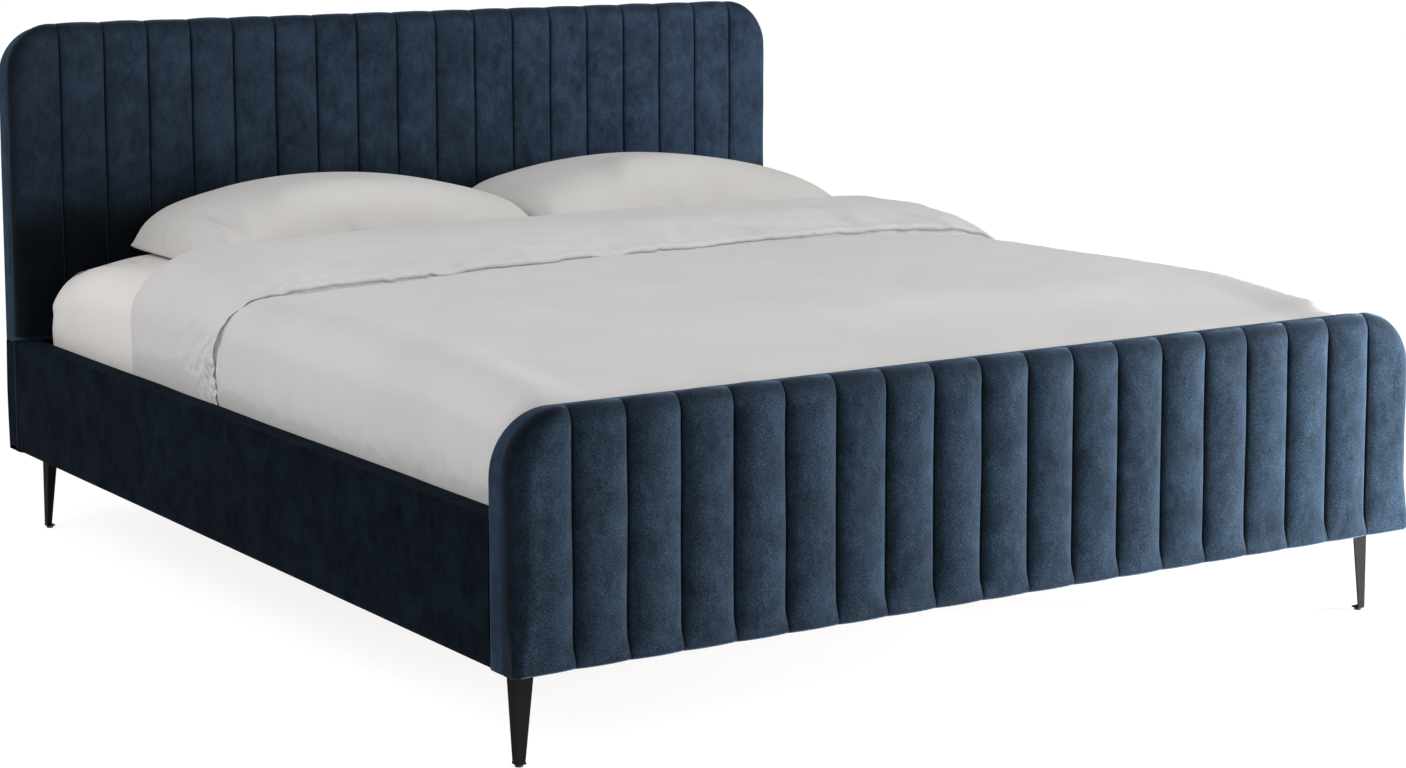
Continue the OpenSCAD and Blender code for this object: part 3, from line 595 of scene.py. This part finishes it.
def archedCover(name, node, seed):
    # a flat cover cut to the board's arched outline, with a slow ripple in the cloth
    k = coverLook
    low, high = boxOf(node)
    half, base, top, corner = high[0], low[2], high[2], channels["cornerR"]
    edge = half - corner + corner * np.sin(quarter(15))
    x = np.concatenate([-edge[::-1], np.linspace(-edge[0], edge[0], k["across"])[1:-1], edge])
    zTop = outlineTop(x, half, top, corner)
    z = base + (zTop - base)[None, :] * np.linspace(0, 1, k["up"])[:, None]
    x = np.broadcast_to(x, z.shape)
    near = np.minimum(half - np.abs(x), np.minimum(zTop - z, z - base))
    soft = k["wave"] * ripple(x, z, 0.18, seed) * smooth(near / 0.05) - k["sunk"]
    front, back = (np.stack([x, y, z], -1) for y in (high[1] - soft, np.full_like(z, low[1])))
    return panelMesh(name, front, back, flip=True)


dress(archedCover("headboard_back_cover", "headboard_back_cover", 51), "frame", "velvet_dark", lining,
      "headboard_back_cover")
dress(archedCover("footboard_back_cover", "footboard_back_cover", 53), "frame", "velvet", velvetEdge,
      "footboard_back_cover")
print("back covers made")

mattressLook = {"edgeR": 0.075, "cornerR": 0.045, "footR": 0.03, "crown": 0.002, "headGrowth": 0.018,
                "sideGrowth": 0.007, "cornerDrop": 0.045, "footDip": 0.018, "around": 560, "shrink": 0.985,
                "fold": 0.0014, "tug": 0.0010}


def footDip(y, footY):
    # 0 over most of the bed, rising to 1 at the foot, where the mattress gives a little
    return smooth((footY + 0.34 - y) / 0.34)


def roundedPlan(halfX, y0, y1, r, count):
    # a rounded rectangle walked anticlockwise, evenly by length
    arc = quarter(9)
    bits = []
    for cx, cy, a in ((halfX - r, y0 + r, -90), (halfX - r, y1 - r, 0), (-halfX + r, y1 - r, 90),
                      (-halfX + r, y0 + r, 180)):
        angle = arc + math.radians(a)
        bits.append(np.stack([cx + r * np.cos(angle), cy + r * np.sin(angle)], 1))
    path = np.concatenate(bits + [bits[0][:1]])
    run = np.concatenate([[0], np.cumsum(np.linalg.norm(np.diff(path, axis=0), axis=1))])
    at = np.linspace(0, run[-1], count, endpoint=False)
    return np.stack([np.interp(at, run, path[:, 0]), np.interp(at, run, path[:, 1])], 1), at


def makeMattress(name, node, seed):
    # rings of the rounded plan: in from the edge over the top, round the edge, down the side and in below
    k = mattressLook
    low, high = boxOf(node)
    high[1] += k["headGrowth"]
    high[0] += k["sideGrowth"]
    low[0] -= k["sideGrowth"]
    r, footR = k["edgeR"], k["footR"]
    plan, along = roundedPlan(high[0], low[1], high[1], k["cornerR"], k["around"])
    middle = (low[:2] + high[:2]) / 2
    out = np.roll(plan, -1, 0) - np.roll(plan, 1, 0)
    out = np.stack([out[:, 1], -out[:, 0]], 1) / np.linalg.norm(out, axis=1, keepdims=True)
    # of each ring: its scale about the middle, how far it lies inside the plan, and its height
    profile = [(1 - t * k["shrink"], r, high[2]) for t in np.linspace(1, 0, 22)[:-1]]
    profile += [(1, r * (1 - math.sin(a)), high[2] - r * (1 - math.cos(a))) for a in quarter(9)]
    profile += [(1, 0.0, h) for h in np.linspace(high[2] - r, low[2] + footR, 14)[1:-1]]
    profile += [(1, footR * (1 - math.cos(a)), low[2] + footR * (1 - math.sin(a))) for a in quarter(9)]
    profile += [(1 - t * k["shrink"], footR, low[2]) for t in (0.3, 0.6, 1.0)]
    scale, back, height = (np.array([ring[i] for ring in profile])[:, None] for i in range(3))
    base = middle + (plan[None] - out[None] * back[..., None] - middle) * scale[..., None]
    z = np.broadcast_to(height, base.shape[:2]).copy()
    run = np.broadcast_to(along[None], z.shape)
    depth = (high[2] - z) / (high[2] - low[2])

    def toEnd(y):
        return np.minimum(np.abs(y - low[1]), np.abs(y - high[1]))

    # soft folds and tugs on the sides, strongest at the corners of the sheet
    cornerNear = bell(np.abs(np.abs(plan[:, 0]) - high[0]) + toEnd(plan[:, 1]), 0.16)[None]
    side = smooth(depth / 0.15) * (scale > 0.999)
    folds = (k["fold"] * crease(run, z * 0.35, 0.055, seed, 3.0) * (0.25 + cornerNear)
             * smooth((depth - 0.2) / 0.6))
    tug = k["tug"] * ripple(run * 0.6, z, 0.05, seed + 1) * (0.4 + cornerNear)
    shift = side * (folds + tug - 0.002 - 0.0015 * smooth((depth - 0.75) / 0.25))
    base = base + out[None] * shift[..., None]
    x, y = base[..., 0], base[..., 1]
    crownUp = k["crown"] * ripple(x, y, 0.35, seed + 2) * (1 - smooth(depth / 0.1))
    z += np.minimum(crownUp + 0.0006 * ripple(x, y, 0.07, seed + 3) * (depth < 0.1), 0.001)
    toCorner = np.hypot(np.abs(x) - high[0], toEnd(y))
    z -= k["cornerDrop"] * bell(toCorner, 0.13) * (1 - smooth((depth - 0.15) / 0.5)) * (y > 0)
    z -= k["footDip"] * footDip(y, low[1]) * (1 - smooth((depth - 0.1) / 0.5))
    n, m = z.shape
    faces = gridFaces(n, m, closeColumns=True, flip=True) + endCaps(n, m)
    return addMesh(name, np.concatenate([base, z[..., None]], -1), faces)


mattress = makeMattress("mattress_in_fitted_sheet", "mattress", 61)
dress(mattress, "mattress", "sheet_cotton", sheetCotton, "mattress")
print("mattress made")

duvetLook = {"loft": 0.041, "bandRise": 0.041, "lip": 0.013, "sideX": 0.8965, "turnR": 0.05, "mainR": 0.105,
             "bandR": 0.15, "farBandR": 0.105, "hem": 0.085, "fold": 0.505, "footSlope": 0.36, "footDip": 0.018,
             "columns": 340, "crowd": 1.12, "underside": 0.0006, "thinnest": 0.0025}
# how far the free hem lies towards the head, at places across the bed and on down both of its sides
hemLine = {"across": (-1.2, -1.08, -1.02, -0.96, -0.91, -0.86, -0.80, -0.56, -0.39, 0.0, 0.28, 0.54, 0.70, 0.85,
                      1.0, 1.2),
           "shift": (0.02, 0.03, 0.055, 0.052, 0.022, -0.020, -0.066, -0.06, -0.036, 0.0, 0.04, 0.05, 0.01,
                     -0.05, -0.03, 0.0)}
# heights of the folds in metres: over the whole duvet, then round the free hem
foldHeights = {"billow": 0.0060, "sag": 0.0022, "soft": 0.0014, "hanging": 0.0016, "tucked": 0.0030,
               "pucker": 0.0052, "puff": 0.0050, "puffCrease": 0.0036, "standing": 0.0058, "valley": 0.0040,
               "gather": 0.0050, "gatherCrease": 0.0150, "knuckle": 0.0055, "knuckleRise": 0.0045,
               "knuckleCrease": 0.0080, "flatter": 0.0085, "stitching": 0.0007}


def drapeOver(a, b, top, sideX, footY, R):
    # the surface that cloth follows when it lies on the bed: flat in the middle, rounded down by R at the sides
    # and the foot; a and b are lengths of cloth across and along
    ex = np.sign(a) * np.maximum(np.abs(a) - (sideX - R), 0)
    ey = np.minimum(b - (footY + R), 0)
    m = np.hypot(ex, ey)
    nx, ny = ex / np.maximum(m, tiny), ey / np.maximum(m, tiny)
    turn = np.minimum(m / R, math.pi / 2)
    out = R * np.sin(turn)
    down = R * (1 - np.cos(turn)) + np.maximum(m - R * math.pi / 2, 0)
    x = np.clip(a, -(sideX - R), sideX - R) + nx * out
    y = np.maximum(b, footY + R) + ny * out
    normal = np.stack([nx * np.sin(turn), ny * np.sin(turn), np.cos(turn)], -1)
    return np.stack([x, y, top - down], -1), normal, m


def easedLine(x, line):
    # a line through a few set points, rounded off by averaging over a short stretch on both sides
    return sum(np.interp(x + d, line["across"], line["shift"]) for d in np.linspace(-0.035, 0.035, 13)) / 13


def thinning(run, turnAt, roundAt, outerR, loft, R):
    # The share of the loft left at a place on the path, so that the cover's outside follows one circle of
    # outerR that starts at roundAt, over the tighter turn of radius R that the path makes from turnAt on.
    e = np.maximum(run - roundAt, 0)
    gap = turnAt - roundAt
    turn = np.clip((e - gap) / R, 0, math.pi / 2)
    px = np.minimum(e, gap) + R * np.sin(turn)
    pz = outerR - loft - R * (1 - np.cos(turn)) - np.maximum(e - gap - R * math.pi / 2, 0)
    along = px * np.sin(turn) + pz * np.cos(turn)
    short = px ** 2 + pz ** 2 - outerR ** 2
    height = np.where(pz > 0, -along + np.sqrt(np.maximum(along ** 2 - short, 0)), outerR - px)
    return np.clip(height, 0.004, loft) / loft


def duvetLoop(bLow):
    # One column's closed loop: of each point the length of cloth along the bed, its height over the path, and
    # its part: 0 on the main top, 1 on the free hem, 2 on the turned-back band, 3 on its fold and 4 below.
    loft, rise, lip, hem, fold = (duvetLook[k] for k in ("loft", "bandRise", "lip", "hem", "fold"))
    half = (loft + rise) / 2
    hemTurn, foldTurn = np.radians(np.linspace(-75, 90, 11)), np.radians(np.linspace(90, -90, 15))
    main = np.linspace(bLow, hem, 160)
    main = main + 0.012 * np.sin(np.pi * (main - bLow) / (hem - bLow))
    band = hem + 0.010 + (fold - 0.06 - hem) * np.linspace(0, 1, 70) ** 1.15
    back = np.linspace(fold - 0.05, bLow, 50)
    runs = [main, hem + 0.006 - 0.008 * np.cos(hemTurn), band, fold - 0.045 + 0.045 * np.cos(foldTurn), back]
    heights = [np.full_like(main, loft), loft + lip * 0.5 + lip * 0.5 * np.sin(hemTurn),
               loft + lip + (rise - lip) * smooth((band - hem) / 0.20) ** 0.75, half + half * np.sin(foldTurn),
               np.full_like(back, duvetLook["underside"])]
    return np.concatenate(runs), np.concatenate(heights), np.repeat(np.arange(5), [len(run) for run in runs])


def broadFolds(a, b, m, seed):
    # slow billows on the top, creases down the sides, and short wrinkles where the cloth is tucked in
    f = foldHeights
    onTop = 0.2 + 0.8 * (1 - smooth(m / 0.06))
    soft = crease(a * 0.5 + 0.05 * ripple(a, b, 0.3, seed + 4), b + 0.06 * ripple(a, b, 0.25, seed + 5), 0.14,
                  seed + 6, 3.0)
    hanging = crease(b + 0.02 * ripple(a, b, 0.11, seed + 7), a * 0.25, 0.085, seed + 8, 2.2)
    tucked = crease(b + 0.35 * np.abs(a), np.abs(a) * 0.35, 0.042, seed + 18, 2.0)
    return (onTop * (f["billow"] * ripple(a, b, 0.46, seed + 2) + f["sag"] * ripple(a, b, 0.19, seed + 3)
                     + f["soft"] * soft)
            + f["hanging"] * hanging * smooth(m / 0.09) * (1 - smooth((m - 0.22) / 0.05))
            + f["tucked"] * tucked * bell(m - 0.205, 0.05))


def hemFolds(a, m, fromHem, onBand, onMain, seed):
    # folds by their distance from the free hem: over it on the band, and on the main top just before it
    f = foldHeights
    over, before = np.maximum(fromHem, 0), np.minimum(fromHem, 0)
    # puckers run back from the hem, and the cloth puffs up behind them
    pucker = np.exp(-(over / 0.05) ** 1.5) * onBand + bell(before, 0.018) * onMain * 0.5
    share = 0.3 + 0.7 * ripple(a, 5.1, 0.09, seed + 10) ** 2 * 2
    height = pucker * f["pucker"] * ripple(a + 0.15 * fromHem, fromHem * 0.3, 0.024, seed + 9) * share
    puff = smooth(fromHem / 0.03) * bell(over, 0.16) * onBand
    height += puff * (f["puff"] * ripple(a + 0.4 * fromHem, fromHem - 0.1 * a, 0.055, seed + 12)
                      + f["puffCrease"] * crease(a + 0.5 * fromHem, fromHem * 0.5, 0.05, seed + 13, 2.5))
    # down the near side the free edge stands out over a narrow valley, which keeps the fold line dark
    nearSide = smooth((m - 0.02) / 0.06) * (a < 0)
    height += nearSide * f["standing"] * bell(over, 0.035) * onBand
    height -= nearSide * f["valley"] * bell(before, 0.022) * onMain
    # a few deeper gathers where the band turns down the near side, and a knuckle of cloth above them
    gather = bell(a + 1.05, 0.09) * bell(fromHem - 0.025, 0.06) * onBand
    height += gather * f["gather"] * ripple(a * 1.2 + fromHem * 1.3, fromHem * 0.8 - a * 0.2, 0.026, seed + 11)
    height -= gather * f["gatherCrease"] * crease(a * 0.9 - fromHem * 0.7, fromHem * 0.9 + a * 0.2, 0.03,
                                                  seed + 14, 2.4)
    knuckle = bell(a + 0.85, 0.06) * bell(fromHem - 0.02, 0.045) * onBand
    height += knuckle * (f["knuckle"] * ripple(a - fromHem * 0.9, fromHem * 0.4, 0.024, seed + 15)
                         + f["knuckleRise"]
                         - f["knuckleCrease"] * crease(a - fromHem * 0.7, fromHem * 0.5, 0.030, seed + 16, 2.4))
    # in places the free edge lies down almost flat
    flatter = smooth(ripple(a, 11.7, 0.13, seed + 17) * 1.6 - 0.1) * (1 - smooth((m - 0.01) / 0.05))
    return height - flatter * f["flatter"] * bell(over, 0.06) * onBand


def makeDuvet(name, seed):
    # Each column across the bed is a closed loop: up round the foot end, along the top to the free hem, up over
    # the turned-back band, round its fold and back underneath. The columns follow drapeOver, and the height is
    # the loft along the normal, which thins towards the shoulders and is slight where the cloth is tucked in.
    d = duvetLook
    lowest, footY = boxOf("duvet")[0][2], boxOf("duvet")[0][1]
    R, under, sideX = d["turnR"], boxOf("mattress")[1][2] + 0.0015, d["sideX"]
    sideDrop = under - R - lowest
    halfRun = sideX - R + R * math.pi / 2 + sideDrop
    across = halfRun * np.sin(np.linspace(-1, 1, d["columns"]) * d["crowd"]) / math.sin(d["crowd"])
    innerFoot = footY + 0.008
    along, heights, parts = duvetLoop(innerFoot + R - R * math.pi / 2 - sideDrop)
    shape = (len(across), len(along))
    a = np.broadcast_to(across[:, None], shape)
    b, part = np.broadcast_to(along, shape).copy(), np.broadcast_to(parts, shape)
    height = np.broadcast_to(heights, shape)
    onMain, onBand = part == 0, (part >= 1) & (part <= 3)
    # the free hem wanders, and so does the fold
    shift = (easedLine(a, hemLine) + 0.008 * ripple(a, 0.3, 0.16, seed) + 0.004 * ripple(a, 2.3, 0.05, seed)
             + 0.0025 * ripple(a, 9.3, 0.022, seed))
    b += shift * smooth((b - (d["hem"] - 0.14)) / 0.14) * (1 - smooth((b - d["hem"]) / 0.26)) * (part < 4)
    foldShift = (-0.010 * smooth((-a - 0.58) / 0.22) + 0.045 * smooth((-a - 0.82) / 0.14)
                 - 0.05 * smooth((a - 0.7) / 0.2) + 0.010 * ripple(a, 7.3, 0.25, seed + 1))
    b += foldShift * smooth((b - 0.28) / 0.2)
    place, normal, m = drapeOver(a, b, under, sideX, innerFoot, R)
    # loft: full in the middle, easing to the shoulders, slight at the sides and the foot
    far = a > 0
    outerR = np.where(onBand, np.where(far, d["farBandR"], d["bandR"]), d["mainR"])
    full = np.where(onBand, d["loft"] + d["bandRise"], d["loft"])
    reach = np.where(onBand, sideX + np.where(far, 0.017, 0.012), sideX + 0.0075)
    side = thinning(np.abs(a), sideX - R, reach - outerR, outerR, full, R)
    side = side * (1 - np.where(onBand, np.where(far, 0.03, 0.16), 0.30) * smooth((np.abs(a) - 0.25) / 0.60))
    # towards the foot the filling thins over a long slope, so the cloth goes down quietly behind the board
    footThin = smooth((innerFoot + R + d["footSlope"] - b) / d["footSlope"]) * onMain
    footThin = footThin * (1 - smooth((np.abs(a) - 0.74) / 0.12))
    height = np.where(part < 4, height * side * (1 - 0.86 * footThin), height)
    fromHem = b - (d["hem"] + shift)
    height = height + (part < 4) * (1 - 0.75 * footThin) * broadFolds(a, b, m, seed)
    height += hemFolds(a, m, fromHem, onBand, onMain, seed)
    # a stitched hem shows as a shallow step 22 mm from the free edge
    height -= foldHeights["stitching"] * bell(fromHem - 0.022, 0.003) * (part == 2)
    height = np.where(part < 4, np.maximum(height, d["thinnest"]), height)
    place = place + normal * height[..., None]
    x, y, z = place[..., 0], place[..., 1], place[..., 2]
    z = z - d["footDip"] * footDip(y, footY) * smooth((z - 0.44) / 0.12)
    # tucked in, the cloth stays clear of the rails and of the footboard
    limit = 0.9035 + 0.011 * smooth((z - railTop) / 0.11)
    x = np.clip(x, -limit, limit)
    y = np.maximum(y, boxOf("footboard_back_cover")[1][1] + 0.002)
    z = np.maximum(z, lowest - 0.002)
    faces = gridFaces(*shape, closeColumns=True) + endCaps(*shape)
    return addMesh(name, np.stack([x, y, z], -1), faces, sharp=100)


duvet = makeDuvet("duvet_with_turned_back_band", 71)
dress(duvet, "duvet", "duvet_cotton", duvetCotton, "duvet")
print("duvet made")

pillowLook = {"cell": 0.0125, "pressure": 3.0, "frames": 24, "loft": 0.035, "rimShare": 0.15, "hemAt": 0.10,
              "hemDepth": 0.021, "fullness": 0.80, "calming": 22, "endLift": 0.19, "cutEdge": 0.045}
clothFeel = {"uniform_pressure_force": pillowLook["pressure"], "quality": 6, "mass": 0.25,
             "tension_stiffness": 25, "compression_stiffness": 25, "shear_stiffness": 12,
             "bending_stiffness": 5.0, "air_damping": 6}


def blowUp(made):
    # the air inside presses two joined cloths apart; what they settle to becomes the mesh
    cloth = made.modifiers.new("cloth", "CLOTH")
    cloth.settings.use_pressure = True
    cloth.settings.effector_weights.gravity = 0
    for setting, value in clothFeel.items():
        setattr(cloth.settings, setting, value)
    cloth.point_cache.frame_end = pillowLook["frames"]
    for step in range(1, pillowLook["frames"] + 1):
        bpy.context.scene.frame_set(step)
    settled = bpy.data.meshes.new_from_object(made.evaluated_get(bpy.context.evaluated_depsgraph_get()))
    made.modifiers.clear()
    made.data = settled
    bpy.context.scene.frame_set(1)


def shapePillow(points, box, seed, blunt, hem, ridge):
    # The settled pillow, from -1 to 1 each way, is fitted to its box: the underside pressed nearly flat, so
    # that the joined edge lies low on the bed, and both ends made blunter.
    k = pillowLook
    low, high = box
    size, middle = high - low, (low + high) / 2
    x, y, z = points.T
    z = np.where(z > 0, z / z.max(), z / -z.min())
    top = z > 0
    # push points outwards by k x^2 (1 - x), which leaves both ends of the run in place
    pushX = np.where(top, np.where(x < 0, blunt[0], blunt[1]), 0.98)
    x = x + np.sign(x) * pushX * x ** 2 * (1 - np.abs(x))
    y = y + np.sign(y) * np.where(top, 0.35, 0.98) * y ** 2 * (1 - np.abs(y))
    y = y + 0.20 * (1 - y ** 2) * top
    rim = np.full_like(x, k["rimShare"])
    if hem:
        rim -= 0.08 * smooth((-x - 0.40) / 0.40)
        x = x + 0.075 * smooth((-x - 0.5) / 0.5)
    rim += 0.16 * smooth((x * np.sign(blunt[1] - blunt[0]) - 0.70) / 0.3) * smooth((0.95 - np.abs(y)) / 0.5)
    z = np.where(top, rim + (1 - rim) * np.maximum(z, 0) ** k["fullness"],
                 rim * np.maximum(1 + z, 0) ** 3.5 * 0.98)
    if hem:  # the open end is thick up to its edge, where several layers of cloth meet
        edgeNear = np.minimum(1 - np.abs(x / np.abs(x).max()), 1 - np.abs(y / np.abs(y).max()))
        z = z + (k["endLift"] * smooth(edgeNear / 0.07) * smooth((-x - 0.50) / 0.4) * top
                 * (1 - np.maximum(z, 0)) ** 0.5)
    # a soft ridge crosses the top from the front, steep on its left and easing away on its right
    off = x * 0.42 - y * 0.13 + 0.04 * ripple(x, y, 0.7, seed + 8) + ridge[1]
    ridgeShape = bell(off, np.where(off < 0, 0.040, 0.24))
    z = z + ridge[0] * ridgeShape * smooth((0.15 - y) / 0.6) * smooth((z - 0.3) / 0.3) * top
    x = x * size[0] / 2 * 0.995 + middle[0]
    y = y * size[1] / 2 * 0.99 + middle[1]
    z = low[2] + 0.001 + z / z.max() * (size[2] - 0.002)
    if hem:
        stitched = bell(x - low[0] - k["hemAt"] - 0.004 * ripple(y, 3.3, 0.12, seed + 7), 0.011) * top
        z = z - k["hemDepth"] * stitched * smooth((middle[1] + 0.06 - y) / 0.14)
    return np.stack([x, y, z], -1)


def makePillow(name, node, seed, blunt, hem=False, ridge=(0.0, 0.0), extra=0.0):
    # two cloth rectangles joined round their edge, blown up from inside and then shaped
    k = pillowLook
    low, high = boxOf(node)
    high[2] += extra
    size = high - low
    nx, ny = int(size[0] / k["cell"]), int(size[1] / k["cell"])
    u, v = np.meshgrid(np.linspace(-1, 1, nx), np.linspace(-1, 1, ny))
    rim = (1 - np.abs(u) ** 4) * (1 - np.abs(v) ** 4)
    w, l = size[0] * 0.5 * 1.05, size[1] * 0.5 * 1.07
    loft = k["loft"]
    shape = loft * np.maximum(rim, 0) ** 0.6 + 0.0025 * ripple(u * w, v * l, 0.08, seed) * rim
    upper = np.stack([u * w, v * l, shape], -1)
    lower = np.stack([u * w, v * l, -shape], -1)[1:-1, 1:-1]
    index = np.arange(nx * ny).reshape(ny, nx)
    lowIndex = index.copy()
    lowIndex[1:-1, 1:-1] = nx * ny + np.arange((ny - 2) * (nx - 2)).reshape(ny - 2, nx - 2)

    def cells(i, flip):
        q = np.stack([i[:-1, :-1], i[:-1, 1:], i[1:, 1:], i[1:, :-1]], -1).reshape(-1, 4)
        return (q[:, ::-1] if flip else q).tolist()

    faces = cells(index, False) + cells(lowIndex, True)
    made = addMesh(name, np.concatenate([upper.reshape(-1, 3), lower.reshape(-1, 3)]), faces, sharp=179)
    blowUp(made)
    points = np.empty(len(made.data.vertices) * 3)
    made.data.vertices.foreach_get("co", points)
    points = points.reshape(-1, 3)
    lowest, highest = points.min(0), points.max(0)
    print(name, "settled to", np.round(highest - lowest, 3).tolist())
    points = (points - (highest + lowest) / 2) / ((highest - lowest) / 2)
    # long folds stay and small dents go: top and underside are each averaged on their own grid, rim held
    for sheetIndex in (index, lowIndex):
        grid = points[sheetIndex]
        for step in range(k["calming"]):
            around = (grid[:-2, 1:-1] + grid[2:, 1:-1] + grid[1:-1, :-2] + grid[1:-1, 2:]) / 4
            grid[1:-1, 1:-1] += 0.7 * (around - grid[1:-1, 1:-1])
        points[sheetIndex[1:-1, 1:-1]] = grid[1:-1, 1:-1]
    points = shapePillow(points, (low, high), seed, blunt, hem, ridge)
    old = made.data
    made.data = bpy.data.meshes.new(name)
    made.data.from_pydata(points.tolist(), [], faces)
    bpy.data.meshes.remove(old)
    made.data.polygons.foreach_set("use_smooth", np.ones(len(made.data.polygons), bool))
    calm = made.modifiers.new("calm", "SMOOTH")
    calm.factor, calm.iterations = 0.5, 4
    if hem:  # the open end keeps its cut edge
        inside = np.nonzero(points[:, 0] > low[0] + k["cutEdge"])[0].tolist()
        made.vertex_groups.new(name="calm").add(inside, 1.0, "REPLACE")
        calm.vertex_group = "calm"
    finer = made.modifiers.new("finer", "SUBSURF")
    finer.levels = finer.render_levels = 1
    return made


pillowLeft = makePillow("left_pillow", "pillow_left", 81, blunt=(0.02, 0.62), hem=True, ridge=(0.055, 0.10))
dress(pillowLeft, "pillow_left", "pillow_cotton", pillowCotton, "pillow_left")
pillowRight = makePillow("right_pillow", "pillow_right", 91, blunt=(0.80, 0.5), ridge=(0.13, 0.075),
                         extra=0.008)
dress(pillowRight, "pillow_right", "pillow_cotton", pillowCotton, "pillow_right")
print("pillows made")

# each lamp: its place, its size and its power in watts; the low one is a spot with an aim and an angle
lights = {"key": (3.5, -3.3, 2.2, 2.4, 146.0), "low": (2.3, -2.15, 0.30, 0.5, 940.0),
          "left": (-3.6, 0.0, 3.0, 2.8, 62.0), "lowAim": (0.55, -1.22, 0.36), "lowCone": 50.0, "lowBlend": 0.35,
          "aim": (0.0, 0.0, 0.4), "air": 0.575}
floorLook = {"reach": 30.0, "colour": 0.8, "rough": 0.8, "gloss": 0.1, "glow": 1.35, "glowShare": 0.62}


def addLamp(name, x, y, z, size, power, target=lights["aim"], cone=None):
    if cone:
        data = bpy.data.lights.new(name, "SPOT")
        data.shadow_soft_size, data.spot_size = size / 2, math.radians(cone)
        data.spot_blend = lights["lowBlend"]
    else:
        data = bpy.data.lights.new(name, "AREA")
        data.shape, data.size = "DISK", size
    data.energy = power
    made = bpy.data.objects.new(name, data)
    bpy.context.scene.collection.objects.link(made)
    toward = Vector(target) - Vector((x, y, z))
    made.matrix_world = Matrix.Translation((x, y, z)) @ toward.to_track_quat("-Z", "Y").to_matrix().to_4x4()
    made.visible_camera = False


addLamp("key lamp", *lights["key"])
addLamp("low lamp", *lights["low"], target=lights["lowAim"], cone=lights["lowCone"])
addLamp("left lamp", *lights["left"])


def seenRays(tree):
    # 1 for rays that come from the camera, straight or by way of gloss or glass, and 0 for all others
    path = tree.nodes.new("ShaderNodeLightPath")
    camera, glossy, through = (Wire(tree, path.outputs["Is " + kind + " Ray"])
                               for kind in ("Camera", "Glossy", "Transmission"))
    return camera + glossy + through


# even light from all sides, and white where it is seen
world = bpy.data.worlds.new("studio air")
bpy.context.scene.world = world
world.use_nodes = True
backing = world.node_tree.nodes["Background"]
backing.inputs["Color"].default_value = (1, 1, 1, 1)
strength = seenRays(world.node_tree).between(0.0, 1.0, lights["air"], 1.0)
world.node_tree.links.new(strength.socket, backing.inputs["Strength"])


def floorMaterial(k):
    # a matt pale floor that is seen part lit and part glowing, so it stays white and keeps a soft shadow
    material = bpy.data.materials.new("pale floor")
    material.use_nodes = True
    tree = material.node_tree
    shader = tree.nodes["Principled BSDF"]
    shader.inputs["Base Color"].default_value = (k["colour"], k["colour"], k["colour"], 1)
    shader.inputs["Roughness"].default_value = k["rough"]
    shader.inputs["Specular IOR Level"].default_value = k["gloss"]
    start = Wire(tree)
    glow = start.node("ShaderNodeEmission", None, {"Color": (1, 1, 1, 1), "Strength": k["glow"]})
    share = seenRays(tree).between(0.0, 1.0, 0.0, k["glowShare"])
    blended = start.node("ShaderNodeMixShader", None, {0: share, 1: Wire(tree, shader.outputs[0]), 2: glow})
    tree.links.new(blended.socket, tree.nodes["Material Output"].inputs["Surface"])
    return material


reach = floorLook["reach"]
floor = addMesh("floor", [(-reach, -reach, 0), (reach, -reach, 0), (reach, reach, 0), (-reach, reach, 0)],
                [[0, 1, 2, 3]])
floor.data.materials.append(floorMaterial(floorLook))
bpy.context.scene.view_settings.view_transform = "Standard"
print("floor and lights made")
